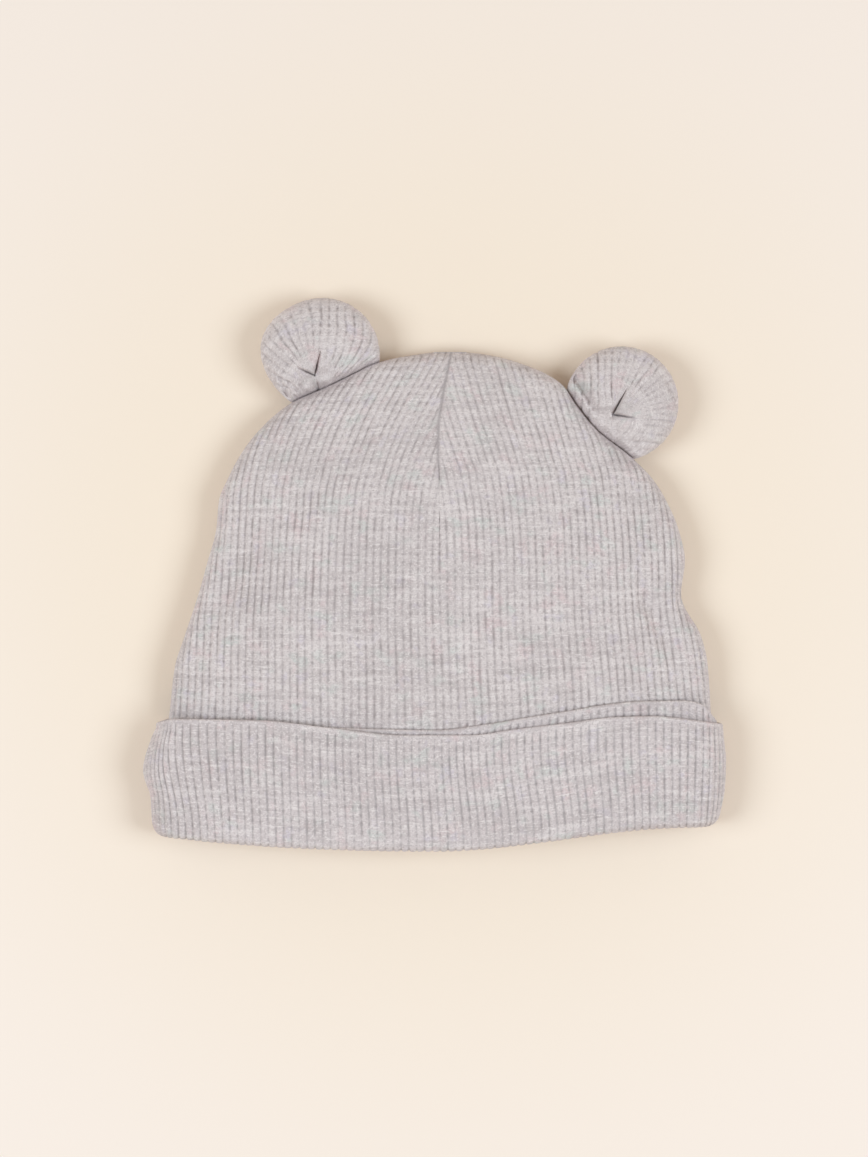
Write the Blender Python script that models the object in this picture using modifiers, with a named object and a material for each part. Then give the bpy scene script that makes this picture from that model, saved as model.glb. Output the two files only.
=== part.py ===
"""A baby's rib-knit beanie with a turned-up cuff and two bear ears, lying flat on its back.

The hat's width runs along X and its height along Y, with the ears at +Y. It rests on Z = 0
with its front facing up. Two crown panels meet at a seam that runs up the sides and over
the top, and the ears are sewn into that seam. Sizes are in metres.
"""

import math
from collections import namedtuple

import bmesh
import bpy
import numpy as np
from mathutils import Vector

# The hat as it lies
CUFF_WIDTH = 0.1662  # across the cuff at its widest
HAT_HEIGHT = 0.1415  # from the hem to the top of the crown, up the middle
CUFF_LOFT = 0.0220  # thickness of the hat over the cuff
CROWN_LOFT = 0.0190  # thickness of the hat over the crown
SEAM_LEVEL = 0.0064  # height of the side seam over what the hat lies on
EDGE_RADIUS = 0.0038  # round of the crown along its seam
SWELL_REACH = 0.045  # how far in from the edge the front keeps rising
SAG_REACH = 0.012  # how far in from the edge the back takes to come down
SETTLE = 0.012  # height over the cuff in which the crown comes down to rest

# Cloth
CROWN_WALL = 0.0020  # two layers of knit
CUFF_WALL = 0.0014
FACING_WALL = 0.0012
GAP = 0.0003  # between neighbouring pieces
HEM_GAP = 0.0006  # between the roll's end and the crown, which narrows towards the sides
MERGE = 0.000001  # points of one mesh that lie this near are one point

# The turned-up cuff
CUFF_LEFT = 0.0342  # height of the cuff at its left end
CUFF_RIGHT = 0.0304  # height of the cuff at its right end
FACING_SHOW = 0.0054  # how far the facing stands above the cuff at the right
FACING_START = -0.40  # where along the half width the facing begins to show
FACING_TUCK = 0.0012  # how far it stays below the cuff's edge before that
ROLL_TUCK = 0.0010  # straight stretch at the roll's inner end, where the crown begins
HEM_LIFT_LEFT = 0.0031  # the hem's left end lies this much higher than its middle
HEM_LIFT_RIGHT = 0.0063
LIFT_END = 0.60  # share of the hat's height at which the rows are level again

# The dart that closes the top of each panel
DART_LENGTH = 0.041
DART_START = 0.014  # length over which the groove deepens from its point
DART_DEPTH = 0.0012
DART_WIDTH = 0.0022

# The ears
EAR_RADIUS = 0.0162
EAR_LOFT = 0.0165  # thickness of a stuffed ear
EAR_BASE_LOFT = 0.0066  # thickness where the ear goes into the seam
EAR_STAND = 0.0086  # from the seam to the middle of the ear
EAR_LEVEL = 0.0076  # height of the ear's middle plane
LEFT_EAR_FROM_TOP = 0.0297  # along the seam, from the top of the crown
RIGHT_EAR_FROM_TOP = 0.0540
TUCK_DEPTH = 0.0026  # the V-shaped tuck in the front of an ear
TUCK_REACH = 0.0070  # length of the tuck's arms
ARM_SPREAD = 0.22  # how far each side of an arm its groove reaches, in radians
PIT_DEPTH = 0.0016  # the pit where the arms meet
PIT_REACH = 0.0019
LOBE_SPREAD = 0.45  # how far each side of its middle an ear's lobe reaches, in radians
STUFFING = 0.85  # 1 is a round ear, and less a fuller one

# Fineness of the faceted solids
SIDE_STATIONS = 10  # across half a panel
CROWDING = 2.2  # draws the stations towards the seam
CROWN_STEPS = 24  # rings of the crown above the cuff
TOP_CROWDING = 1.6  # draws those rings towards the top
DART_STATION = 0.035  # the extra station beside the dart
ROLL_STEPS = 6
EAR_SEGMENTS = 32
EAR_RINGS = 18

# Heights are shares of HAT_HEIGHT, and the others shares of half the cuff's width.
CrownRow = namedtuple("CrownRow", "height left middle right")
CROWN_ROWS = (
    CrownRow(height=0.359, left=-0.890, middle=0.014, right=0.936),
    CrownRow(height=0.419, left=-0.859, middle=0.014, right=0.914),
    CrownRow(height=0.508, left=-0.811, middle=0.014, right=0.845),
    CrownRow(height=0.581, left=-0.777, middle=0.014, right=0.859),
    CrownRow(height=0.641, left=-0.749, middle=0.014, right=0.838),
    CrownRow(height=0.702, left=-0.739, middle=0.015, right=0.794),
    CrownRow(height=0.746, left=-0.708, middle=0.017, right=0.746),
    CrownRow(height=0.792, left=-0.667, middle=0.012, right=0.667),
    CrownRow(height=0.843, left=-0.601, middle=0.015, right=0.557),
    CrownRow(height=0.895, left=-0.498, middle=0.025, right=0.485),
    CrownRow(height=0.933, left=-0.357, middle=0.036, right=0.440),
    CrownRow(height=0.960, left=-0.265, middle=0.045, right=0.371),
    CrownRow(height=0.976, left=-0.206, middle=0.050, right=0.302),
    CrownRow(height=0.988, left=-0.134, middle=0.055, right=0.237),
    CrownRow(height=0.996, left=-0.048, middle=0.058, right=0.165),
    CrownRow(height=1.000, left=0.000, middle=0.060, right=0.110),
)

# Heights are shares of the cuff's height, and the others shares of half the cuff's width.
CuffRow = namedtuple("CuffRow", "height left right")
CUFF_ROWS = (
    CuffRow(height=0.00, left=-0.955, right=0.962),
    CuffRow(height=0.12, left=-0.968, right=0.980),
    CuffRow(height=0.35, left=-0.975, right=0.996),
    CuffRow(height=0.60, left=-1.000, right=1.000),
    CuffRow(height=0.85, left=-0.978, right=0.992),
    CuffRow(height=1.00, left=-0.955, right=0.988),
)

# Soft hollows in the crown's front. x is a share of half the cuff's width and y of
# HAT_HEIGHT, long and wide are shares of HAT_HEIGHT, and depth is a share of CROWN_LOFT.
# turn is in degrees from the hat's width.
Hollow = namedtuple("Hollow", "x y long wide turn depth")
HOLLOWS = (
    Hollow(x=0.76, y=0.49, long=0.060, wide=0.015, turn=-62, depth=0.070),
    Hollow(x=-0.70, y=0.53, long=0.070, wide=0.023, turn=68, depth=0.050),
    Hollow(x=0.30, y=0.66, long=0.110, wide=0.040, turn=-35, depth=0.035),
    Hollow(x=-0.34, y=0.42, long=0.120, wide=0.045, turn=20, depth=0.035),
)

# The tuck's place is in shares of EAR_RADIUS, along the seam and out from the ear's middle.
# Lobe and arm directions are in degrees from the seam's direction, seen from the front.
Ear = namedtuple("Ear", "name side from_top tuck_along tuck_out arms lobe_at lobe_rise")
EARS = (
    Ear("ear_left", -1, LEFT_EAR_FROM_TOP, -0.22, -0.34, (50, 134), 172, 0.06),
    Ear("ear_right", 1, RIGHT_EAR_FROM_TOP, 0.02, -0.38, (52, 122), 300, 0.03),
)

# Colour of the heather-grey knit, linear
KNIT_COLOUR = (0.56, 0.52, 0.53, 1.0)
EAR_COLOUR = (0.58, 0.54, 0.55, 1.0)
KNIT_ROUGHNESS = 0.95

LAYERS = CUFF_WALL + GAP + FACING_WALL + GAP  # from the cuff's face to the crown's
ROLL_RADIUS = (LAYERS + CROWN_WALL) / 2  # round of the fold at the hem
HALF_WIDTH = CUFF_WIDTH / 2
CUFF_MIDDLE = (CUFF_LEFT + CUFF_RIGHT) / 2
CROWN_START = ROLL_RADIUS + ROLL_TUCK + HEM_GAP  # height over the hem
COVERED = CUFF_MIDDLE + FACING_SHOW + GAP  # height up to which the crown stays inside


def smooth(at, knots, values):
    """Values between the knots, on a smooth curve that never overshoots them."""
    knots, values = np.array(knots, float), np.array(values, float)
    run = np.diff(knots)
    rise = np.diff(values) / run
    product = rise[:-1] * rise[1:]
    total = np.where(product > 0, rise[:-1] + rise[1:], 1.0)
    inner = np.where(product > 0, 2 * product / total, 0.0)
    slope = np.concatenate([rise[:1], inner, rise[-1:]])
    i = np.clip(np.searchsorted(knots, at) - 1, 0, len(run) - 1)
    t = (at - knots[i]) / run[i]
    first = values[i] * (1 + 2 * t) + run[i] * slope[i] * t
    last = values[i + 1] * (3 - 2 * t) - run[i] * slope[i + 1] * (1 - t)
    return first * (1 - t) ** 2 + last * t**2


def ease(value, start, end):
    """0 before start, 1 after end, and a smooth step between them."""
    t = min(max((value - start) / (end - start), 0.0), 1.0)
    return t * t * (3 - 2 * t)


def lift(height, share):
    """How much higher a row lies at this share of its half width than at its middle."""
    end = HEM_LIFT_LEFT if share < 0 else HEM_LIFT_RIGHT
    return end * share**2 * (1 - ease(height, 0, LIFT_END * HAT_HEIGHT))


def cuff_height(share):
    """Height of the cuff at this share of the half width."""
    return CUFF_MIDDLE + (CUFF_RIGHT - CUFF_LEFT) / 2 * share


def cuff_side(height, side):
    """Half the cuff's width on one side, at this height, with its sign."""
    shares = [row.left if side < 0 else row.right for row in CUFF_ROWS]
    knots = [row.height * CUFF_MIDDLE for row in CUFF_ROWS]
    return HALF_WIDTH * float(smooth(min(max(height, 0), knots[-1]), knots, shares))


def band_heights():
    """The heights over the hem at which every layer of the cuff has a row."""
    return [CROWN_START] + [row.height * CUFF_MIDDLE for row in CUFF_ROWS[2:-1]]


def crown_table():
    """Rows of the crown from the hem's roll to the top: height, left, middle and right."""
    middle = CROWN_ROWS[0].middle * HALF_WIDTH
    rows = []
    for height in (*band_heights(), CUFF_MIDDLE, COVERED):
        left = cuff_side(height, -1) + LAYERS
        right = cuff_side(height, 1) - LAYERS
        rows.append((height, left, middle, right))
    knots = [COVERED] + [row.height * HAT_HEIGHT for row in CROWN_ROWS]
    lines = []
    for at, start in (("left", left), ("middle", middle), ("right", right)):
        lines.append([start] + [getattr(row, at) * HALF_WIDTH for row in CROWN_ROWS])
    for step in range(1, CROWN_STEPS + 1):
        share = 1 - (1 - step / CROWN_STEPS) ** TOP_CROWDING
        height = COVERED + (HAT_HEIGHT - COVERED) * share
        rows.append((height, *(float(smooth(height, knots, line)) for line in lines)))
    return rows


def stations():
    """Shares across a panel, from the left seam to the right, crowded at the seams."""
    steps = np.arange(1, SIDE_STATIONS + 1) / SIDE_STATIONS
    half = [DART_STATION, *(1 - (1 - steps) ** CROWDING)]
    return [-share for share in reversed(half)] + [0.0] + half


def across(left, middle, right, share):
    """The x at this share of the way from the middle to the left or right."""
    end = left if share < 0 else right
    return middle + (end - middle) * abs(share)


def distance_to(line, point):
    """How far a point lies from a line of points."""
    run = np.diff(line, axis=0)
    along = ((point - line[:-1]) * run).sum(1) / (run**2).sum(1)
    foot = line[:-1] + np.clip(along, 0, 1)[:, None] * run
    return float(np.sqrt(((point - foot) ** 2).sum(1)).min())


def edge(inset, radius):
    """Rise of a round edge of this radius, this far in from it."""
    return math.sqrt(max(radius**2 - (radius - min(inset, radius)) ** 2, 0.0))


def swell(inset, reach):
    """0 at the edge, rising to 1 where the inset comes to the reach."""
    return 1 - (1 - min(inset / reach, 1.0)) ** 2


def front_level(inset, radius, top):
    """Height of the front this far in from the edge."""
    full = top - SEAM_LEVEL - radius
    return SEAM_LEVEL + edge(inset, radius) + full * swell(inset, SWELL_REACH)


def back_level(inset, radius, under):
    """Height of the back this far in from the edge."""
    full = SEAM_LEVEL - radius - under
    return SEAM_LEVEL - edge(inset, radius) - full * swell(inset, SAG_REACH)


def hollow_depth(x, y):
    """Depth of the soft hollows at a place on the crown's front."""
    depth = 0.0
    for hollow in HOLLOWS:
        away = x - hollow.x * HALF_WIDTH, y - hollow.y * HAT_HEIGHT
        turn = math.radians(hollow.turn)
        along = (away[0] * math.cos(turn) + away[1] * math.sin(turn)) / hollow.long
        beside = (away[1] * math.cos(turn) - away[0] * math.sin(turn)) / hollow.wide
        spread = (along**2 + beside**2) / HAT_HEIGHT**2
        depth += hollow.depth * CROWN_LOFT * math.exp(-spread)
    return depth


def dart_depth(x, middle, y):
    """Depth of the dart's groove at a place on a panel."""
    apex = HAT_HEIGHT - DART_LENGTH
    fade = ease(y, apex, apex + DART_START)
    return DART_DEPTH * fade * math.exp(-(((x - middle) / DART_WIDTH) ** 2))


def mesh_object(name, points, faces):
    """A mesh object in the scene, with coinciding points merged."""
    mesh = bpy.data.meshes.new(name)
    mesh.from_pydata(points, [], faces)
    work = bmesh.new()
    work.from_mesh(mesh)
    bmesh.ops.remove_doubles(work, verts=work.verts, dist=MERGE)
    work.to_mesh(mesh)
    work.free()
    made = bpy.data.objects.new(name, mesh)
    bpy.context.scene.collection.objects.link(made)
    return made


def loft(name, rings):
    """A surface through closed rings of as many points each, facing out."""
    count = len(rings[0])
    points = [point for ring in rings for point in ring]
    faces = []
    for i in range(len(rings) - 1):
        for j in range(count):
            k = (j + 1) % count
            low, high = i * count, (i + 1) * count
            faces.append((low + j, low + k, high + k, high + j))
    return mesh_object(name, points, faces)


def crown_outline():
    """The seam's line in plan, up the left side, over the top and down the right."""
    rows = crown_table()
    left = [(row[1], row[0] + lift(row[0], -1)) for row in rows]
    right = [(row[3], row[0] + lift(row[0], 1)) for row in rows[-2::-1]]
    below_left = (left[0][0], left[0][1] - HAT_HEIGHT)
    below_right = (right[-1][0], right[-1][1] - HAT_HEIGHT)
    return np.array([below_left, *left, *right, below_right])


def crown_grid(side):
    """The face of one panel, as rows of points: side is 1 at the front and -1 at the back."""
    outline = crown_outline()
    grid = []
    for height, left, middle, right in crown_table():
        free = ease(height, COVERED, COVERED + SETTLE)
        radius = SEAM_LEVEL - LAYERS + (EDGE_RADIUS - SEAM_LEVEL + LAYERS) * free
        top = CUFF_LOFT - LAYERS + (CROWN_LOFT - CUFF_LOFT + LAYERS) * free
        under = LAYERS * (1 - free)
        line = []
        for share in stations():
            x = across(left, middle, right, share)
            y = height + lift(height, share)
            inset = distance_to(outline, np.array([x, y]))
            sunk = dart_depth(x, middle, y)
            if side > 0:
                sunk += free * hollow_depth(x, y) * swell(inset, 2 * EDGE_RADIUS)
                z = front_level(inset, radius, top) - sunk
            else:
                z = back_level(inset, radius, under) + sunk
            if abs(share) == 1 or height == HAT_HEIGHT:
                z = SEAM_LEVEL
            line.append((x, y, z))
        grid.append(line)
    return np.array(grid)


def crown_form(name):
    """The outside of the whole crown, open at the hem."""
    front, back = crown_grid(1), crown_grid(-1)
    return loft(name, [[*f, *b[-2:0:-1]] for f, b in zip(front, back)])


def unit(vectors):
    """These vectors, each one long."""
    return vectors / np.linalg.norm(vectors, axis=-1, keepdims=True)


def crown_panel(name, side):
    """One panel of the crown: its face, an inner face one wall in, and its cut edges."""
    outer = crown_grid(side)
    rows, columns = outer.shape[:2]
    normals = unit(np.cross(np.gradient(outer, axis=1), np.gradient(outer, axis=0))) * side

    rim = [(i, 0) for i in range(rows)] + [(rows - 1, j) for j in range(1, columns)]
    rim += [(i, columns - 1) for i in range(rows - 2, -1, -1)]
    line = np.array([outer[place] for place in rim])
    run = np.gradient(line, axis=0)
    outward = unit(np.stack([-run[:, 1], run[:, 0], 0 * run[:, 0]], axis=1))
    for place, normal in zip(rim, outward):
        normals[place] = normal
        outer[place][2] = SEAM_LEVEL + side * GAP / 2

    inner = outer - CROWN_WALL * normals
    rise = np.maximum((inner[..., 2] - SEAM_LEVEL) * side, GAP / 2)
    inner[..., 2] = SEAM_LEVEL + rise * side
    points = np.concatenate([outer, inner]).reshape(-1, 3)
    layer = rows * columns
    faces = []
    for i in range(rows - 1):
        for j in range(columns - 1):
            at = i * columns + j
            face = at, at + 1, at + columns + 1, at + columns
            faces += [face, tuple(layer + point for point in reversed(face))]
    edge_line = [i * columns + j for i, j in rim]
    edge_line += list(range(columns - 2, -1, -1))
    for at, after in zip(edge_line, edge_line[1:]):
        faces.append((at, after, after + layer, at + layer))
    return mesh_object(name, points, faces if side > 0 else [face[::-1] for face in faces])


def band_sides(height, depth):
    """The cuff's left and right, this deep under its face."""
    return cuff_side(height, -1) + depth, cuff_side(height, 1) - depth


def band_ring(place, depth):
    """One closed ring round the cuff, this deep under its face.

    place gives the height over the hem at each share of the half width.
    """
    radius = SEAM_LEVEL - depth
    front, back = [], []
    for share in stations():
        height = place(share)
        left, right = band_sides(height, depth)
        x = across(left, 0.0, right, share)
        y = height + lift(height, share)
        inset = min(x - left, right - x)
        front.append((x, y, front_level(inset, radius, CUFF_LOFT - depth)))
        back.append((x, y, back_level(inset, radius, depth)))
    return front + back[-2:0:-1]


def solidify(piece, thickness):
    """Gives an open surface this wall, inwards from its face."""
    wall = piece.modifiers.new("wall", "SOLIDIFY")
    wall.thickness = thickness
    wall.offset = -1


def cuff():
    """The turned-up cuff: its face, and the roll at the hem that goes round into the hat."""
    rings = []
    tuck_end = ROLL_RADIUS + ROLL_TUCK
    rings.append(band_ring(lambda share: tuck_end, 2 * ROLL_RADIUS))
    for step in range(ROLL_STEPS, -1, -1):
        turn = math.pi * step / ROLL_STEPS
        depth = ROLL_RADIUS * (1 - math.cos(turn))
        height = ROLL_RADIUS * (1 - math.sin(turn))
        rings.append(band_ring(lambda share, h=height: h, depth))
    for height in band_heights()[1:]:
        rings.append(band_ring(lambda share, h=height: h, 0.0))
    rings.append(band_ring(cuff_height, 0.0))
    made = loft("cuff", rings)
    solidify(made, CUFF_WALL)
    return made


def facing_height(share):
    """Top of the facing: under the cuff's edge at the left, above it at the right."""
    shown = max(0.0, (share - FACING_START) / (1 - FACING_START))
    return cuff_height(share) + (FACING_SHOW + FACING_TUCK) * shown - FACING_TUCK


def cuff_facing():
    """The layer under the cuff's face, whose edge shows above it at the right."""
    depth = CUFF_WALL + GAP
    rings = [band_ring(lambda share, h=height: h, depth) for height in band_heights()]
    rings.append(band_ring(facing_height, depth))
    made = loft("cuff_facing", rings)
    solidify(made, FACING_WALL)
    return made


def as_cutter(made, cutters):
    """Puts an object among the cutters, out of the render."""
    for collection in list(made.users_collection):
        collection.objects.unlink(made)
    cutters.objects.link(made)
    made.hide_render = True
    made.display_type = "WIRE"
    return made


def cut(piece, cutter):
    """Cuts a piece with a cutter."""
    away = piece.modifiers.new("cut", "BOOLEAN")
    away.operation = "DIFFERENCE"
    away.object = cutter


def ear_seat(ear):
    """Where an ear is sewn on: its place on the seam, and the directions out and along."""
    line = crown_outline()
    top = max(range(len(line)), key=lambda i: line[i][1])
    path = line[top:] if ear.side > 0 else line[top::-1]
    length = np.concatenate([[0], np.cumsum(np.hypot(*np.diff(path, axis=0).T))])
    half = math.sqrt(EAR_RADIUS**2 - EAR_STAND**2)

    def at(distance):
        return Vector([float(np.interp(distance, length, path[:, k])) for k in (0, 1)])

    start, end = at(ear.from_top - half), at(ear.from_top + half)
    along = (end - start).normalized() * ear.side
    out = Vector((-along.y, along.x))
    return (start + end) / 2, out, along


def ear_point(ear, a, b, c):
    """A point of the ear for one of the unit sphere: a along the seam, b out and c up."""
    reach = math.hypot(a, b)
    angle = math.atan2(b, a)
    off_lobe = math.remainder(angle - math.radians(ear.lobe_at), math.tau)
    rim = 1 + ear.lobe_rise * math.exp(-((off_lobe / LOBE_SPREAD) ** 2))
    along = a * rim + (1 - reach) * ear.tuck_along
    out = b * rim + (1 - reach) * ear.tuck_out
    base = EAR_BASE_LOFT / EAR_LOFT
    full = base + (1 - base) * ease(out * EAR_RADIUS, -EAR_STAND, 0.0)
    rise = EAR_LOFT / 2 * math.copysign(abs(c) ** STUFFING, c) * full
    if c > 0:
        near = math.exp(-((reach * EAR_RADIUS / TUCK_REACH) ** 2))
        for arm in ear.arms:
            turned = math.remainder(angle - math.radians(arm), math.tau)
            rise -= TUCK_DEPTH * near * math.exp(-((turned / ARM_SPREAD) ** 2))
        rise -= PIT_DEPTH * math.exp(-((reach * EAR_RADIUS / PIT_REACH) ** 2))
    return along * EAR_RADIUS, out * EAR_RADIUS, max(EAR_LEVEL + rise, 0.0)


def make_ear(ear, crown_cutter):
    """A stuffed ear with a V-shaped tuck, its base shaped to the crown's edge."""
    foot, out, along = ear_seat(ear)
    middle = foot + out * EAR_STAND
    work = bmesh.new()
    bmesh.ops.create_uvsphere(work, u_segments=EAR_SEGMENTS, v_segments=EAR_RINGS, radius=1)
    for vertex in work.verts:
        x, y, z = ear_point(ear, *vertex.co)
        place = middle + along * x + out * y
        vertex.co = (place.x, place.y, z)
    mesh = bpy.data.meshes.new(ear.name)
    work.to_mesh(mesh)
    work.free()
    made = bpy.data.objects.new(ear.name, mesh)
    bpy.context.scene.collection.objects.link(made)
    cut(made, crown_cutter)
    return made


def crown_cutter(cutters):
    """The whole crown, closed at the hem and grown by the gap, to seat the ears on."""
    made = crown_form("crown_cut")
    work = bmesh.new()
    work.from_mesh(made.data)
    bmesh.ops.holes_fill(work, edges=work.edges, sides=0)
    work.to_mesh(made.data)
    work.free()
    grow = made.modifiers.new("grow", "DISPLACE")
    grow.strength = GAP
    grow.mid_level = 0.0
    return as_cutter(made, cutters)


def material(name, colour):
    """A knitted cloth's finish."""
    made = bpy.data.materials.new(name)
    made.use_nodes = True
    finish = made.node_tree.nodes["Principled BSDF"]
    finish.inputs["Base Color"].default_value = colour
    finish.inputs["Roughness"].default_value = KNIT_ROUGHNESS
    finish.inputs["Metallic"].default_value = 0.0
    return made


def set_down(pieces, hat):
    """Moves the hat so that the middle of its resting box is the origin."""
    bpy.context.view_layer.update()
    graph = bpy.context.evaluated_depsgraph_get()
    corners = []
    for piece in pieces:
        shown = piece.evaluated_get(graph)
        corners += [shown.matrix_world @ Vector(corner) for corner in shown.bound_box]
    low = Vector([min(corner[k] for corner in corners) for k in range(3)])
    high = Vector([max(corner[k] for corner in corners) for k in range(3)])
    hat.location = (-(low.x + high.x) / 2, -(low.y + high.y) / 2, -low.z)


def build():
    for old in list(bpy.data.objects):
        bpy.data.objects.remove(old)
    beanie = bpy.data.collections.new("baby_hat")
    cutters = bpy.data.collections.new("cutters")
    for collection in (beanie, cutters):
        bpy.context.scene.collection.children.link(collection)

    seat = crown_cutter(cutters)
    pieces = [crown_panel("crown_front", 1), crown_panel("crown_back", -1)]
    pieces += [cuff(), cuff_facing()]
    pieces += [make_ear(ear, seat) for ear in EARS]

    hat = bpy.data.objects.new("hat", None)
    beanie.objects.link(hat)
    for piece in pieces:
        bpy.context.scene.collection.objects.unlink(piece)
        beanie.objects.link(piece)
        is_ear = piece.name.startswith("ear")
        colour = EAR_COLOUR if is_ear else KNIT_COLOUR
        piece.data.materials.append(material(piece.name + "_knit", colour))
        piece.data.shade_smooth()
    for made in [*pieces, *cutters.objects]:
        made.parent = hat
    set_down(pieces, hat)


build()
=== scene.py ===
# %% [markdown]
# # A baby's knitted hat with bear ears
#
# The hat is cut and sewn from one soft rib knit: two crown panels, a turned-up cuff with a
# facing behind it, and two stuffed ears. It lies on its back, photographed from straight
# above. The lesson builds the cloth rib by rib, so that the light finds real furrows. The
# ribs could also be painted on a smooth shape with a bump map, which is quicker, but a knit's
# outline and its shadows come from its relief.

# %% Open the frame
import math

import bpy
import numpy as np
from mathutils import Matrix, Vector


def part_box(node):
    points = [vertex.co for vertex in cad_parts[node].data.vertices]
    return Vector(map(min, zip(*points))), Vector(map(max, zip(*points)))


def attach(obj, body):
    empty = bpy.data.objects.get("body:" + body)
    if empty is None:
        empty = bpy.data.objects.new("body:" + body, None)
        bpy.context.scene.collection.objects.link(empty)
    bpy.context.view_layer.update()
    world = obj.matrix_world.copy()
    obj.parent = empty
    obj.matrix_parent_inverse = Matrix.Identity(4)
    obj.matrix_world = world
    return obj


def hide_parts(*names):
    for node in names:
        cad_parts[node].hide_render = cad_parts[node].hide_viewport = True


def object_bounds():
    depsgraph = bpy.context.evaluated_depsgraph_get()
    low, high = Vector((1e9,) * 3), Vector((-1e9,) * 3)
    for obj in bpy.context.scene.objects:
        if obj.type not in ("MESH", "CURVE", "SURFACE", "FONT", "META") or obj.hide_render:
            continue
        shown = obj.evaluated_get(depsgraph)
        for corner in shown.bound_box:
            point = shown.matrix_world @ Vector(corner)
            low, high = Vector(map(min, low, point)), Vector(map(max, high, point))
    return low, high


MM = 0.001

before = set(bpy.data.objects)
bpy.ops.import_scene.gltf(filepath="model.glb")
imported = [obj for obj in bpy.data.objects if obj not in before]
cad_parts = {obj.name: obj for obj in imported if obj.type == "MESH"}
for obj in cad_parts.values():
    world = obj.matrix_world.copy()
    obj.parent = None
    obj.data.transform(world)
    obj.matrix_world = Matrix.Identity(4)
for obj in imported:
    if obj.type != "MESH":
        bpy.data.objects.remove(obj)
cad_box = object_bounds()
cad_box = [list(corner) for corner in cad_box]
print("frame nodes:", ", ".join(sorted(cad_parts)))

# %% [markdown]
# ## Sizes from the frame
#
# The construction already gives the hat's true size, so the lesson reads its width, height
# and thickness from there and never types them again.

# %% Measure the frame
cuff_low, cuff_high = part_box("cuff")
crown_low, crown_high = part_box("crown_front")
hem = cuff_low.y
half_width = (cuff_high.x - cuff_low.x) / 2
hat_height = crown_high.y - hem
cuff_loft = cuff_high.z
crown_loft = crown_high.z
seam_level = (crown_low.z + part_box("crown_back")[1].z) / 2
layers = cuff_high.x - crown_high.x
print(f"hat {2 * half_width / MM:.1f} mm wide, {hat_height / MM:.1f} mm high")
print(f"seam {seam_level / MM:.1f} mm up, cuff layers {layers / MM:.1f} mm")

# %% [markdown]
# ## Sizes of the knitting
#
# A knit has sizes of its own: how wide a rib is, how deep the furrow beside it, how tall one
# knitted cell. They were counted on the hat, whose cuff is stretched a little wider.

# %% Sizes of the knitting
RIB = 2.08 * MM  # one rib and its furrow
CUFF_RIB = 2.20 * MM  # the same where the cuff is stretched
CELL = 2.40 * MM  # height of one knitted cell
FURROW_DEPTH = 0.62 * MM
WALL = 1.9 * MM  # the crown's two layers of cloth
CUFF_WALL = 1.4 * MM
FACING_WALL = 1.2 * MM
GAP = 0.3 * MM  # between neighbouring layers
ROWS_PER_CELL = 5
RIB_STEPS = (0.0, 0.10, 0.26, 0.50, 0.74, 0.90)  # columns of points across one rib
print(f"about {2 * half_width / CUFF_RIB:.0f} ribs across the cuff's front")

# %% [markdown]
# ## Smooth curves through a few numbers
#
# A tailor's pattern has few measured points and a smooth edge between them. `smooth` does
# the same: it draws a curve through a short table and never overshoots it, which a plain
# spline would. `wander` makes soft, repeatable unevenness from a seeded lattice, because no
# hand-laid cloth is perfectly straight, and `bumps` scales it by a rule with a name.


# %% Curves and unevenness
LATTICE_SIZE = 256
TINY = 1e-12


def ease(value, start, end):
    """0 before start, 1 after end, and a smooth step between them."""
    t = np.clip((value - start) / (end - start), 0, 1)
    return t * t * (3 - 2 * t)


def smooth(at, knots, values):
    """A curve through the knots that never overshoots them."""
    knots = np.array(knots, float)
    values = np.array(values, float)
    run = np.diff(knots)
    rise = np.diff(values) / run
    product = rise[:-1] * rise[1:]
    total = np.where(product > 0, rise[:-1] + rise[1:], 1)
    inner = np.where(product > 0, 2 * product / total, 0)
    slope = np.concatenate([rise[:1], inner, rise[-1:]])
    at = np.clip(at, knots[0], knots[-1])
    i = np.clip(np.searchsorted(knots, at) - 1, 0, len(run) - 1)
    t = (at - knots[i]) / run[i]
    first = values[i] * (1 + 2 * t) + run[i] * slope[i] * t
    last = values[i + 1] * (3 - 2 * t) - run[i] * slope[i + 1] * (1 - t)
    return first * (1 - t) ** 2 + last * t**2


def wander(across, along, seed):
    """Soft unevenness between -1 and 1, a bump to each whole step of its two inputs."""
    size = LATTICE_SIZE
    lattice = np.random.default_rng(seed).uniform(-1, 1, (size, size))
    across, along = np.broadcast_arrays(across, along)
    i = np.floor(across).astype(int)
    j = np.floor(along).astype(int)
    s = ease(across - i, 0, 1)
    t = ease(along - j, 0, 1)
    low = lattice[i % size, j % size] * (1 - s) + lattice[(i + 1) % size, j % size] * s
    j = j + 1
    high = lattice[i % size, j % size] * (1 - s) + lattice[(i + 1) % size, j % size] * s
    return low * (1 - t) + high * t


def bumps(rule, across, along, start=(0, 0), which=0):
    """Unevenness by a rule: its amount, the size of a bump across and along, and a seed."""
    amount, wide, long, seed = rule
    return amount * wander(across / wide + start[0], along / long + start[1], seed + which)


def unit(vectors):
    """These vectors, each one long, and those with no length left pointing up."""
    length = np.linalg.norm(vectors, axis=-1, keepdims=True)
    return np.where(length > TINY, vectors / np.maximum(length, TINY), [0.0, 0.0, 1.0])


print("a soft step at its quarters:", ease(np.linspace(0, 1, 5), 0, 1).tolist())

# %% [markdown]
# ## The hat's outline
#
# These tables are the hat's silhouette, read upwards from the hem. Heights are shares
# of the hat's or the cuff's height, and sides are shares of half the cuff's width. The
# crown isn't quite even: it was laid down by hand, with a notch in its right side.

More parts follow.
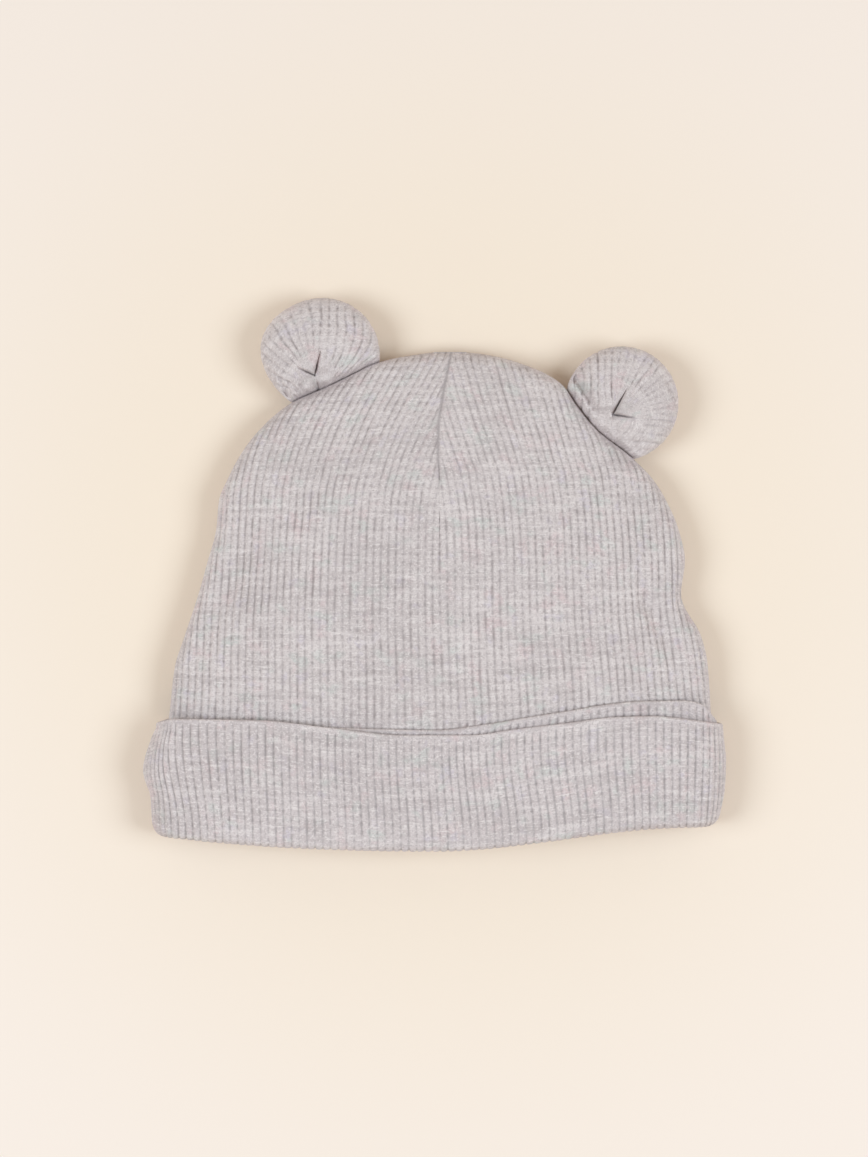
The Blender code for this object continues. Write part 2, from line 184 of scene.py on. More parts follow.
# %% Outline tables
CUFF_LEFT = 34.2 * MM
CUFF_RIGHT = 30.4 * MM
HEM_LIFT_LEFT = 3.5 * MM  # the hem's ends lie higher than its middle
HEM_LIFT_RIGHT = 6.3 * MM
LIFT_REACH = 0.90  # share of half the width at which the right end has risen fully
LIFT_END = 0.60  # share of the hat's height at which the rows are level again
UNDER_CUFF = (0.0, 0.35, 0.60, 0.85)  # shares of the cuff's height at which it holds the crown
cuff_middle = (CUFF_LEFT + CUFF_RIGHT) / 2

# height, left, right
CUFF_SIDES = (
    (0.00, -0.955, 0.962),
    (0.12, -0.968, 0.980),
    (0.35, -0.975, 0.996),
    (0.60, -1.000, 1.000),
    (0.85, -0.978, 0.992),
    (1.00, -0.955, 0.988),
)

# height, left, right
CROWN_SIDES = (
    (0.359, -0.890, 0.936),
    (0.419, -0.859, 0.914),
    (0.508, -0.811, 0.845),
    (0.581, -0.777, 0.859),
    (0.641, -0.749, 0.838),
    (0.702, -0.739, 0.794),
    (0.746, -0.708, 0.746),
    (0.792, -0.667, 0.667),
    (0.843, -0.601, 0.557),
    (0.895, -0.498, 0.485),
    (0.933, -0.357, 0.440),
    (0.960, -0.265, 0.371),
    (0.976, -0.206, 0.302),
    (0.988, -0.134, 0.237),
    (0.996, -0.048, 0.165),
    (1.000, 0.000, 0.110),
)

# the middle rib and, above it, the dart's seam: height, side
MIDDLE_LINE = (
    (0.00, 0.040),
    (0.30, 0.030),
    (0.50, 0.018),
    (0.75, 0.016),
    (0.79, 0.012),
    (0.84, 0.013),
    (0.90, 0.025),
    (0.94, 0.038),
    (0.97, 0.048),
    (1.00, 0.058),
)
print(f"cuff {cuff_middle / MM:.1f} mm high, crown table of {len(CROWN_SIDES)} heights")

# %% [markdown]
# ## Reading the tables
#
# Each side of the hat is a curve through its table. The crown keeps inside the cuff as far up
# as the cuff covers it, so that its two sides never come through. The hem isn't straight: its
# ends lie higher than its middle, and the rows of the knit follow it up to the crown.

# %% Sides, middle and lift
def column(table, index, unit_length):
    """One column of a table of shares, as lengths."""
    return [row[index] * unit_length for row in table]


def cuff_side(height, side):
    """Half the cuff's width on one side, with its sign."""
    knots = column(CUFF_SIDES, 0, cuff_middle)
    return smooth(height, knots, column(CUFF_SIDES, 1 if side < 0 else 2, half_width))


def crown_side(height, side):
    """Half the crown's width on one side, with its sign."""
    low = [part * cuff_middle for part in (*UNDER_CUFF, 1.0)]
    under = [float(cuff_side(h, side)) - side * layers for h in low]
    knots = low + column(CROWN_SIDES, 0, hat_height)
    values = under + column(CROWN_SIDES, 1 if side < 0 else 2, half_width)
    return smooth(height, knots, values)


def middle_line(height):
    """Where the middle rib runs."""
    return smooth(height, column(MIDDLE_LINE, 0, hat_height), column(MIDDLE_LINE, 1, half_width))


def lift(height, share):
    """How much higher a row lies towards the sides than at its middle."""
    left = HEM_LIFT_LEFT * share**2
    right = HEM_LIFT_RIGHT * ease(share, 0, LIFT_REACH)
    return np.where(share < 0, left, right) * (1 - ease(height, 0, LIFT_END * hat_height))


crown_width = float(crown_side(cuff_middle, 1) - crown_side(cuff_middle, -1))
print(f"crown {crown_width / MM:.1f} mm wide at the cuff's edge")

# %% [markdown]
# ## Two edges turned up by hand
#
# The cuff's upper edge dips in the middle and stands highest near the right side. The facing's
# edge hides under it at the left and shows above it at the right. Two more tables hold them,
# as heights over the hem.

# %% Upper edges
# the cuff's upper edge: place across, height over the hem as a share of the hat's height
CUFF_EDGE = (
    (-1.00, 0.254),
    (-0.94, 0.263),
    (-0.80, 0.263),
    (-0.62, 0.262),
    (-0.39, 0.249),
    (-0.10, 0.233),
    (0.12, 0.233),
    (0.27, 0.244),
    (0.48, 0.258),
    (0.62, 0.267),
    (0.75, 0.268),
    (0.83, 0.264),
    (1.00, 0.250),
)

# the facing's upper edge, in the same shares as the cuff's
FACING_EDGE = (
    (-1.00, 0.256),
    (-0.80, 0.253),
    (-0.62, 0.251),
    (-0.45, 0.248),
    (-0.34, 0.247),
    (0.00, 0.243),
    (0.19, 0.255),
    (0.32, 0.267),
    (0.48, 0.281),
    (0.62, 0.293),
    (0.75, 0.298),
    (0.88, 0.298),
    (0.945, 0.291),
    (0.985, 0.268),
    (1.00, 0.258),
)


def edge_height(table, share):
    """Height of a hand-laid edge, less what the rows are lifted there."""
    height = smooth(share, column(table, 0, 1.0), column(table, 1, hat_height))
    return height - lift(height, share)


def cuff_height(share):
    """Height of the cuff's upper edge."""
    return edge_height(CUFF_EDGE, share)


def facing_height(share):
    """Upper edge of the facing: under the cuff's edge at the left, above it at the right."""
    return edge_height(FACING_EDGE, share)


middle_edge = float(cuff_height(np.zeros(1))[0])
print(f"cuff's edge {middle_edge / MM:.1f} mm over the hem in the middle")

# %% [markdown]
# ## How far in from the seam
#
# A loosely stuffed or folded shape rises from its seam in a small round, then in a long
# slow swell. So one number decides the height at any place: the distance to the outline.
# It is measured to a line of short straight pieces, a block of points at a time.

# %% Distance to the outline
OUTLINE_STEPS = 130
TOP_CROWDING = 1.6  # draws the outline's points towards the crown's round top
BLOCK = 4096  # points measured at a time


def crown_outline():
    """The crown's seam line seen from above, up one side and down the other."""
    share = 1 - (1 - np.linspace(0, 1, OUTLINE_STEPS)) ** TOP_CROWDING
    height = share * hat_height
    left = np.stack([crown_side(height, -1), height + lift(height, np.full(1, -1.0))], 1)
    right = np.stack([crown_side(height, 1), height + lift(height, np.full(1, 1.0))], 1)
    below = np.array([[0.0, -hat_height]])
    return np.concatenate([left[:1] + below, left, right[::-1], right[:1] + below])


def distance_to(line, x, y):
    """How far places lie from the nearest piece of a line of points."""
    start = line[:-1]
    run = np.diff(line, axis=0)
    long = (run**2).sum(1)
    places = np.stack([x.ravel(), y.ravel()], 1)
    nearest = np.empty(len(places))
    for first in range(0, len(places), BLOCK):
        away = places[first : first + BLOCK, None] - start
        along = np.clip((away * run).sum(2) / long, 0, 1)
        gap = away - along[..., None] * run
        nearest[first : first + BLOCK] = np.sqrt((gap**2).sum(2).min(1))
    return nearest.reshape(x.shape)


outline = crown_outline()
print("outline points:", len(outline))

# %% [markdown]
# ## Rising from the seam
#
# The front swells softly over 45 mm. The back sags to the table within 12 mm and lies flat
# on it. Under the cuff the crown is squeezed between the cuff's layers, and just above the
# cuff it settles back to its own thickness.

# %% Levels of the front and back
EDGE_RADIUS = 3.8 * MM
SWELL_REACH = 45 * MM
SAG_REACH = 12 * MM
SETTLE = 12 * MM
SQUEEZE_PAST = 5.7 * MM  # how far past the cuff's middle edge it still squeezes the crown
covered = cuff_middle + SQUEEZE_PAST


def edge(inset, radius):
    """Rise of a round edge."""
    inset = np.minimum(inset, radius)
    return np.sqrt(np.maximum(radius**2 - (radius - inset) ** 2, 0))


def swell(inset, reach):
    """0 at the edge, rising to 1 at the reach."""
    return 1 - (1 - np.minimum(inset / reach, 1)) ** 2


def front_level(inset, radius, top):
    """Height of the front this far in from the edge."""
    return seam_level + edge(inset, radius) + (top - seam_level - radius) * swell(inset, SWELL_REACH)


def back_level(inset, radius, under):
    """Height of the back this far in from the edge."""
    return seam_level - edge(inset, radius) - (seam_level - radius - under) * swell(inset, SAG_REACH)


front_top = float(front_level(SWELL_REACH, EDGE_RADIUS, crown_loft))
print(f"the front's top lies {front_top / MM:.1f} mm over the table")

# %% [markdown]
# ## Dents, folds and the dart
#
# The cloth shows soft dents where it was patted down, and a sharper crease at the notch in
# the right side. The dart is a seam that takes the fullness out of the crown's top: a deep
# narrow furrow, fading out at its point.

# %% Soft dents and the dart
# place across and up, length and width, turn in degrees, depth in millimetres
DENTS = (
    (0.745, 0.475, 0.075, 0.016, -64, 1.70),
    (0.80, 0.395, 0.060, 0.020, -80, 0.60),
    (-0.70, 0.53, 0.070, 0.023, 68, 0.95),
    (-0.80, 0.41, 0.060, 0.020, 75, 0.80),
    (0.30, 0.66, 0.110, 0.040, -35, 0.65),
    (-0.34, 0.42, 0.120, 0.045, 20, 0.65),
    (0.52, 0.60, 0.080, 0.025, -58, 0.55),
    (-0.45, 0.70, 0.080, 0.030, 50, 0.55),
    (0.05, 0.36, 0.180, 0.030, 0, 0.45),
)
DART_POINT = 0.702  # share of the hat's height
DART_DEPTH = 1.1 * MM
DART_WIDTH = 0.75 * MM
DART_START = 14 * MM
DART_CURVE = 1.5  # below 2 is sharper than a round furrow


def dents(x, height):
    """Depth of the soft dents."""
    depth = 0
    for across, up, long, wide, turn, deep in DENTS:
        turn = math.radians(turn)
        right = x - across * half_width
        above = height - up * hat_height
        along = (right * math.cos(turn) + above * math.sin(turn)) / (long * hat_height)
        beside = (above * math.cos(turn) - right * math.sin(turn)) / (wide * hat_height)
        depth = depth + deep * MM * np.exp(-(along**2) - beside**2)
    return depth


def dart(x, height):
    """Depth of the dart's furrow."""
    point = DART_POINT * hat_height
    fade = ease(height, point, point + DART_START)
    return DART_DEPTH * fade * np.exp(-np.abs((x - middle_line(height)) / DART_WIDTH) ** DART_CURVE)


print(f"{len(DENTS)} dents, and a dart {(1 - DART_POINT) * hat_height / MM:.0f} mm long")

# %% [markdown]
# ## Any place on the crown
#
# One function now gives the smooth face of either panel, from a height and a place across. A
# cage of a few points under a subdivision modifier would be quicker to model, but the ribs
# need to know exactly where the face lies, and a function says so everywhere.

# %% The crown's face
def crown_surface(height, share, side):
    """Places on the crown's face, and their distance to the seam."""
    left = crown_side(height, -1)
    right = crown_side(height, 1)
    middle = middle_line(height)
    x = middle + np.where(share < 0, middle - left, right - middle) * share
    y = height + lift(height, share)
    inset = distance_to(outline, *np.broadcast_arrays(x, y))
    inset = np.where(np.abs(share) >= 1, 0, inset)
    free = ease(height, covered, covered + SETTLE)
    radius = seam_level - layers + (EDGE_RADIUS - seam_level + layers) * free
    sunk = dart(x, y)
    if side > 0:
        top = cuff_loft - layers + (crown_loft - cuff_loft + layers) * free
        sunk = sunk + free * dents(x, y) * swell(inset, 2 * EDGE_RADIUS)
        z = front_level(inset, radius, top) - sunk * swell(inset, EDGE_RADIUS)
    else:
        z = back_level(inset, radius, layers * (1 - free)) + sunk * swell(inset, EDGE_RADIUS)
    return np.stack(np.broadcast_arrays(x, y + hem, z), -1), inset


halfway, _ = crown_surface(np.full((1, 1), hat_height / 2), np.zeros((1, 1)), 1)
print(f"halfway up, the front's middle lies {halfway[0, 0, 2] / MM:.1f} mm over the table")

# %% [markdown]
# ## The relief of one rib
#
# A rib knit pulls every few stitches forward into a round ridge and lets the next one sink
# into a furrow. Small bars cross the furrow once in every cell, which is why it shows as a
# row of dashes. The relief only ever goes inwards, so the hat keeps its true size.

# %% Rib relief
FURROW_REACH = 0.165  # in ribs
KNOT_REACH = 0.26  # in cells
BRIDGE = 0.74  # how much of the furrow is filled between two knots
BRIDGED = 0.60  # share of that which every furrow has
CROSSED = 0.45  # how often the knots reach across a ridge
CROSS_DEPTH = 0.08 * MM  # the faint dip across a ridge, level with the knots

# unevenness: amount, ribs and cells to a bump, seed
KNOT_SHIFTS = (0.24, 1.3, 2.5, 12)
BRIDGES = (0.40, 1.2, 1.6, 11)
FURROWS = (0.30, 1 / 1.7, 1.6, 13)
CROSSINGS = (1.0, 1.5, 1 / 0.9, 15)
PEBBLES = (0.06 * MM, 0.5, 0.5, 14)


def relief(ribs, cells):
    """Depth of the knit under its face: ribs counts across it, and cells along it."""
    to_furrow = np.abs(ribs - np.round(ribs))
    furrow = np.exp(-((to_furrow / FURROW_REACH) ** 2))
    shifted = cells + bumps(KNOT_SHIFTS, ribs, cells)
    knot = np.exp(-(((shifted - np.round(shifted)) / KNOT_REACH) ** 2))
    filled = BRIDGE * (1 - knot) * (BRIDGED + bumps(BRIDGES, ribs, cells))
    uneven = 1 + bumps(FURROWS, np.round(ribs), cells)
    crossing = np.maximum(CROSSED + bumps(CROSSINGS, ribs, cells), 0)
    ridge = (1 - furrow) * (CROSS_DEPTH * knot**2 * crossing + bumps(PEBBLES, ribs, cells))
    return FURROW_DEPTH * furrow * uneven * (1 - filled) + np.maximum(ridge, 0)


along_furrow = relief(np.zeros(ROWS_PER_CELL), np.arange(ROWS_PER_CELL) / ROWS_PER_CELL)
print("depths along one cell of a furrow, in mm:", np.round(along_furrow / MM, 2).tolist())

# %% [markdown]
# ## From a grid of points to cloth
#
# A sheet of knit is a fine grid on its face and a coarse one behind it, one point to each
# rib, with the edges sewn together, so every piece is a closed solid with a real thickness.
# A thin sheet with a solidify modifier would double all the fine points where nobody looks.

# %% Sew a sheet
def rib_columns(first, last):
    """Positions of the grid's columns, in ribs."""
    steps = [rib + step for rib in range(first, last) for step in RIB_STEPS]
    return np.array(steps + [float(last)])


def sew(name, face, ribs, cells, depth, back, ring=False):
    """A closed piece from its face's grid and a coarser grid behind it.

    The back has a point for each rib and for each of its own rows, from the first row of
    the face to the last. A ring's columns close on themselves.
    """
    rows, columns = face.shape[:2]
    back_rows, back_columns = back.shape[:2]
    step = len(RIB_STEPS)
    points = np.concatenate([face.reshape(-1, 3), back.reshape(-1, 3)])
    start = rows * columns
    faces = []
    for i in range(rows - 1):
        low = i * columns + np.arange(columns - 1)
        high = low + columns
        faces += np.stack([low, low + 1, high + 1, high], 1).tolist()
    for i in range(back_rows - 1):
        low = start + i * back_columns + np.arange(back_columns - 1)
        high = low + back_columns
        faces += np.stack([low + 1, low, high, high + 1], 1).tolist()
    for j in range(back_columns - 1):
        near = [j * step + k for k in range(step + 1)]
        faces.append(near[::-1] + [start + j, start + j + 1])
        top = (rows - 1) * columns
        behind = start + (back_rows - 1) * back_columns + j
        faces.append([top + k for k in near] + [behind + 1, behind])
    if not ring:
        picks = np.round(np.linspace(0, rows - 1, back_rows)).astype(int)
        for i, (low, high) in enumerate(zip(picks, picks[1:])):
            left = [row * columns for row in range(low, high + 1)]
            right = [row * columns + columns - 1 for row in range(low, high + 1)]
            behind = start + i * back_columns
            faces.append(left + [behind + back_columns, behind])
            far = behind + back_columns - 1
            faces.append(right[::-1] + [far, far + back_columns])
    return knit_mesh(name, points, faces, ribs, cells, depth)


print(f"{len(RIB_STEPS)} columns of points to a rib, {ROWS_PER_CELL} rows to a cell")

# %% [markdown]
# ## Points into a mesh
#
# The face carries a UV map that counts ribs and cells, and an attribute that says how deep
# in a furrow each point lies, or how strong the painted shade of a seam or crease is there.
# The material reads its yarns from the UV map and paints shade from the attribute, so the
# painted shade and the relief stay together. A weld modifier joins the points that were piled
# up at a seam.

# %% Make the mesh
WELD_REACH = 0.01 * MM


def knit_mesh(name, points, faces, ribs, cells, depth):
    """The mesh with its ribs and cells counted and its furrows' painted shade, welded where points
    coincide.
    """
    mesh = bpy.data.meshes.new(name)
    mesh.from_pydata(points, [], faces)
    start = ribs.size
    counts = np.zeros((len(points), 2))
    counts[:start, 0] = ribs.ravel()
    counts[:start, 1] = cells.ravel()
    counts[start:, 0] = points[start:, 0] / RIB
    counts[start:, 1] = points[start:, 1] / CELL
    corner = np.empty(len(mesh.loops), int)
    mesh.loops.foreach_get("vertex_index", corner)
    layer = mesh.uv_layers.new(name="knit")
    layer.data.foreach_set("uv", counts[corner].astype(np.float32).ravel())
    # how much painted shade each point gets, as a share of a whole furrow's depth
    painted_shade = np.zeros(len(points))
    painted_shade[:start] = depth.ravel() / FURROW_DEPTH
    mesh.attributes.new("furrow", "FLOAT", "POINT").data.foreach_set("value", painted_shade)
    piece = bpy.data.objects.new(name, mesh)
    bpy.context.scene.collection.objects.link(piece)
    weld = piece.modifiers.new("weld", "WELD")
    weld.merge_threshold = WELD_REACH
    graph = bpy.context.evaluated_depsgraph_get()
    welded = bpy.data.meshes.new_from_object(piece.evaluated_get(graph))
    piece.modifiers.clear()
    piece.data = welded
    welded.name = name
    welded.shade_smooth()
    triangles = sum(len(polygon.vertices) - 2 for polygon in welded.polygons)
    print(f"{name}: {triangles} triangles")
    return piece


def sink(points, depth, side=1):
    """The points of a front or back face moved inwards by a depth."""
    normal = unit(np.cross(np.gradient(points, axis=1), np.gradient(points, axis=0)))
    return points - normal * (depth * side)[..., None]


# %% [markdown]
# ## Where the ribs run on the crown
#
# Below the dart the ribs run almost straight up and draw a little closer together. Beside
# the dart each half was turned towards the seam before it was sewn, so the ribs lean in and
# are cut off along the seam, in a chevron. Leaning a rib is a shift that grows with the
# height, and cutting it off is a limit on that shift: the points pile up on the seam and
# the weld joins them.

# %% Rib lines of the crown
# share of the hat's height, lean of the left half and of the right, in degrees
LEANS = (
    (0.55, 0.0, 0.0),
    (0.60, 1.0, 0.5),
    (0.64, 3.0, 2.0),
    (0.70, 7.5, 8.0),
    (0.74, 16.5, 9.5),
    (0.78, 22.5, 16.5),
    (0.82, 23.0, 20.5),
    (0.86, 21.0, 24.5),
    (1.00, 19.0, 26.5),
)
PITCH_KNOTS = (0.25, 0.45, 0.66, 0.88, 1.0)  # shares of the hat's height
PITCHES = (1.045, 1.02, 1.00, 1.05, 1.06)  # shares of RIB
ACROSS_STEPS = 240
SIDE_CROWDING = 0.5  # draws the measured points towards the panel's sides
LEAN_STEPS = 400
SEAM_FADE = 0.7 * MM
STRAIGHT_RIBS = 3  # next to the middle rib, where the others begin to sway

# sway in ribs: amount, ribs and height to a bump, seed
SLOW_SWAY = (0.10, 9, 16 * MM, 21)
QUICK_SWAY = (0.04, 1.3, 3 * MM, 22)


def leaned(height, half):
    """How far the ribs of one half have shifted at this height."""
    fine = np.linspace(0, hat_height, LEAN_STEPS)
    angle = smooth(fine, column(LEANS, 0, hat_height), column(LEANS, half, 1.0))
    shift = np.concatenate([[0], np.cumsum(np.tan(np.radians(angle[1:])) * np.diff(fine))])
    return np.interp(height, fine, shift)


def rib_shares(heights, ribs, side):
    """For each row and column, where across the panel its point lies."""
    half = np.linspace(0, 1, ACROSS_STEPS // 2 + 1) ** SIDE_CROWDING
    share = np.concatenate([-half[::-1], half[1:]])
    found = np.empty((len(heights), len(ribs)))
    places, _ = crown_surface(heights[:, None], share[None, :], side)
    length = np.linalg.norm(np.diff(places[..., (0, 2)], axis=1), axis=-1)
    pitch = RIB * smooth(heights, np.array(PITCH_KNOTS) * hat_height, PITCHES)
    for i, height in enumerate(heights):
        walked = np.concatenate([[0], np.cumsum(length[i])])
        walked -= walked[len(half) - 1]
        loose = bumps(SLOW_SWAY, ribs, height) + bumps(QUICK_SWAY, ribs, height)
        loose *= ease(np.abs(ribs), 0, STRAIGHT_RIBS)
        at = (ribs + loose) * pitch[i]
        left = np.minimum(at + leaned(height, 1), 0)
        right = np.maximum(at - leaned(height, 2), 0)
        found[i] = np.interp(np.where(ribs < 0, left, right), walked, share)
    return found


shifts = [float(leaned(hat_height, half)) / MM for half in (1, 2)]
print(f"at the top the ribs have moved in by {shifts[0]:.1f} and {shifts[1]:.1f} mm")

# %% [markdown]
# ## The crown's two panels
#
# The front and back panels are cut alike. The front gets its rows from under the cuff to
# the top seam, five rows to a cell, and the ribs fade out in the last half millimetre
# before a seam, where the stitches pull them flat.

# %% Make the crown
CROWN_START = 4.2 * MM  # height over the hem
VISIBLE_START = 25 * MM  # where the fine rows begin, under the cuff's edge
HIDDEN_ROWS = 4
INNER_ROW = 3.2 * MM  # height of a row on the inside
BACK_ROW = 1.3  # the hidden back's rows, as a share of the front's
PANEL_SKEW = 0.01 * MM  # keeps the two panels from sharing their points
PANEL_RIBS = 39  # on each side of the middle rib
DART_FLAT = 1.6 * MM  # plain cloth to the right of the dart
DART_LINE = 0.36 * MM  # half the width of the painted shade line along the dart's seam
DART_SHADE = 1.35  # how dark that painted shade is, as a share of a whole furrow's
TOP_STRETCH = 0.12  # share of the relief that the stretched top loses
TOP_BAND = (0.60, 0.78)  # shares of the hat's height between which it does


def crown_panel(name, side, row_step):
    """One panel of the crown."""
    low = np.linspace(CROWN_START, VISIBLE_START, HIDDEN_ROWS, endpoint=False)
    count = round((hat_height - VISIBLE_START) / row_step)
    heights = np.concatenate([low, np.linspace(VISIBLE_START, hat_height, count)])
    ribs = rib_columns(-PANEL_RIBS, PANEL_RIBS)
    share = rib_shares(heights, ribs, side)
    base, inset = crown_surface(heights[:, None], share, side)
    base[-1, :, 2] = seam_level
    base[..., 2] += side * PANEL_SKEW
    cells = np.broadcast_to(heights[:, None] / CELL, share.shape)
    to_dart = base[..., 0] - middle_line(base[..., 1] - hem)
    beside = np.where(to_dart < 0, SEAM_FADE, DART_FLAT)
    point = DART_POINT * hat_height
    in_dart = ease(heights[:, None], point, point + DART_START)
    fade = ease(inset, 0, SEAM_FADE) * (1 - in_dart * (1 - ease(np.abs(to_dart), 0, beside)))
    low_end, high_end = [part * hat_height for part in TOP_BAND]
    fade = fade * (1 - TOP_STRETCH * ease(heights[:, None], low_end, high_end))
    counts = np.broadcast_to(ribs, share.shape)
    depth = relief(counts, cells) * fade
    face = sink(base, depth, side)
    # painted shade along the dart's seam, kept with the relief's depths for the material
    line = in_dart * np.exp(-((to_dart / DART_LINE) ** 2))
    depth = np.maximum(depth, FURROW_DEPTH * DART_SHADE * line)
    rows = round((hat_height - CROWN_START) / INNER_ROW)
    picks = np.round(np.linspace(0, len(heights) - 1, rows)).astype(int)
    inner = base[picks][:, :: len(RIB_STEPS)]
    within = inset[picks][:, :: len(RIB_STEPS)]
    inner = sink(inner, WALL * ease(within, 0, WALL), side)
    inner[..., 2] = seam_level + side * np.maximum(side * (inner[..., 2] - seam_level), GAP / 2)
    piece = sew(name, face, counts, cells, depth, inner)
    if side < 0:
        piece.data.flip_normals()
    return piece


row_height = CELL / ROWS_PER_CELL
crown_front = crown_panel("crown_front_knit", 1, row_height)
crown_back = crown_panel("crown_back_knit", -1, row_height * BACK_ROW)

# %% [markdown]
# ## The turned-up cuff
#
# The cuff is the hat's own tube turned up once, so its face rolls round the hem and goes up
# inside. It is a ring: each row is a closed section, and the ribs are set out along it at
# equal distances, so they crowd together in the picture where the ring turns its sides. The
# ribs aren't quite upright, because the cuff slipped a little as it was turned up.

# %% Rib lines of the cuff
# share of half the width, how far a rib's top end lies left of its bottom end, in millimetres
CUFF_SHIFTS = (
    (-1.00, 2.8),
    (-0.86, 3.2),
    (-0.70, 1.4),
    (-0.50, 0.7),
    (-0.20, 1.2),
    (0.00, 1.6),
    (0.20, 2.5),
    (0.40, 2.7),
    (0.60, 1.8),
    (0.80, 0.3),
    (1.00, -1.5),
)
SHIFT_BAND = (0.05, 0.90)  # shares of the cuff's height between which a rib shifts
STILL_END = 0.12  # share of half the width, at each end, where the shift fades out
RING_STEPS = 240
RING_ENDS = 10 * MM  # what the ring's round ends add to its length
FRONT_MIDDLE = 0.25  # share of the way round at which the front's middle lies
BACK_START = 0.5  # and at which the back begins
RING_RIBS = round((4 * half_width + RING_ENDS) / CUFF_RIB)


def cuff_shift(share, height):
    """How far left a rib has moved at this height."""
    whole = smooth(share, column(CUFF_SHIFTS, 0, 1.0), column(CUFF_SHIFTS, 1, MM))
    low, high = [part * cuff_middle for part in SHIFT_BAND]
    return whole * ease(height, low, high)


def ring_places(height, share, side, depth):
    """Places on a section of the cuff, this deep under its face."""
    left = cuff_side(height, -1) + depth
    right = cuff_side(height, 1) - depth
    x = np.where(share < 0, -left, right) * share
    y = height + lift(height, share)
    inset = np.minimum(x - left, right - x)
    radius = seam_level - depth
    if side > 0:
        z = front_level(inset, radius, cuff_loft - depth)
    else:
        z = back_level(inset, radius, depth)
    return np.stack(np.broadcast_arrays(x, y + hem, z), -1)


def ring_section(height, depth):
    """A fine closed section: its places, and the share and side of each."""
    half = 1 - (1 - np.linspace(0, 1, RING_STEPS // 2)) ** 2
    share = np.concatenate([-half[::-1], half[1:]])
    front = ring_places(height(share), share, 1, depth)
    back = ring_places(height(share[::-1]), share[::-1], -1, depth)
    return np.concatenate([front, back[1:]]), np.concatenate([share, share[::-1][1:]])


def ring_row(height, depth, ribs):
    """One row of points round the cuff, at a height that is a function of the place across.

    On the front the ribs keep their width and stand on the middle, so they don't follow the
    cuff's bulging ends. The back takes up what is left of the section's length.
    """
    places, share = ring_section(height, depth)
    length = np.linalg.norm(np.diff(places[:, (0, 2)], axis=0), axis=1)
    walked = np.concatenate([[0], np.cumsum(length)])
    turn = ribs / RING_RIBS
    knitted = RING_RIBS * CUFF_RIB
    middle = np.interp(0, share[: len(share) // 2], walked[: len(share) // 2])
    at = middle + (turn - FRONT_MIDDLE) * knitted
    at = at + (walked[-1] - knitted) * ease(turn, BACK_START, 1.0)
    at = np.mod(at, walked[-1])
    shares = np.interp(at, walked, share)
    moved = cuff_shift(shares, height(shares)) * ease(1 - np.abs(shares), 0, STILL_END)
    at = at - moved * np.where(at < walked[-1] / 2, 1, -1)
    return np.stack([np.interp(at, walked, places[:, k]) for k in range(3)], 1)


print(f"{RING_RIBS} ribs round the cuff")

# %% [markdown]
# ## Rows from the hem to the edge
#
# The rows begin inside, go round the rolled fold at the hem, up the face and over the round
# upper edge. Each is a station with its height, depth and share of the relief, as a knitter
# works in rounds. A path swept by a profile would do this too, but it can't follow an edge
# that isn't straight.

# %% Make the cuff
EDGE_ROUND = CUFF_WALL / 2
ROLL_STEPS = 14
ROLL_TUCK = 1.0 * MM  # how far the cloth reaches past the roll on the inside
ROLL_SLACK = 2.0 * MM
ROLL_FADE = 0.12  # share of the cuff's face on which the relief grows to its full depth
ROLL_RELIEF = 0.90  # share of the relief left round the hem
EDGE_RELIEF = 0.15  # and at a turned edge
CUFF_RELIEF = 1.12  # the cuff's ribs stand up a little more than the crown's
EDGE_FADE = 1.6 * MM
EDGE_STEPS = 6
EDGE_CLIMB = 0.05  # cells from one row to the next over the cuff's upper edge
TUCKED_CELLS = -3.0  # cells counted from the hem to the first row, inside it
CUFF_OFFSET = 0.3  # how far the cuff's ribs stand beside the middle, in ribs
INNER_WALL = 0.6  # share of the wall between a ring's outer and inner points
INNER_STEP = 5  # outer rows to each inner row
roll_radius = (layers + ROLL_SLACK) / 2


def ring_piece(name, edge_at, stations, ribs_at, wall):
    """A ring of cloth from rows of (height, share of the edge, depth, cells, share of relief).

    A row lies at its height plus its share of the height of the cloth's upper edge.
    """
    ribs = rib_columns(0, RING_RIBS)
    base = []
    for height, part, depth, *_ in stations:
        base.append(ring_row(lambda share: height + part * edge_at(share), depth, ribs))
    base = np.array(base)
    base[:, -1] = base[:, 0]
    cells = np.array([row[3] for row in stations])[:, None] * np.ones(len(ribs))
    knitted = np.array([row[4] for row in stations])[:, None]
    counts = np.broadcast_to(ribs + ribs_at, cells.shape)
    wrapped = np.concatenate([base[:, -3:-1], base, base[:, 1:3]], axis=1)
    normal = unit(np.cross(np.gradient(wrapped, axis=1), np.gradient(wrapped, axis=0)))[:, 2:-2]
    depth = relief(counts, cells) * knitted
    face = base - normal * depth[..., None]
    face[:, -1] = face[:, 0]
    picks = np.round(np.linspace(0, len(stations) - 1, len(stations) // INNER_STEP)).astype(int)
    inner = base[picks][:, :: len(RIB_STEPS)]
    inner = inner - normal[picks][:, :: len(RIB_STEPS)] * wall * INNER_WALL
    return sew(name, face, counts, cells, depth, inner, ring=True)


def edge_stations(depth, cells, climb):
    """Rows over a round upper edge, from the face inwards, with so many cells to each row."""
    rows = []
    for step in range(1, EDGE_STEPS + 1):
        turn = math.pi / 2 * step / EDGE_STEPS
        below = EDGE_ROUND * (1 - math.sin(turn))
        inwards = depth + EDGE_ROUND * (1 - math.cos(turn))
        rows.append((-below, 1.0, inwards, cells + climb * step, EDGE_RELIEF))
    return rows


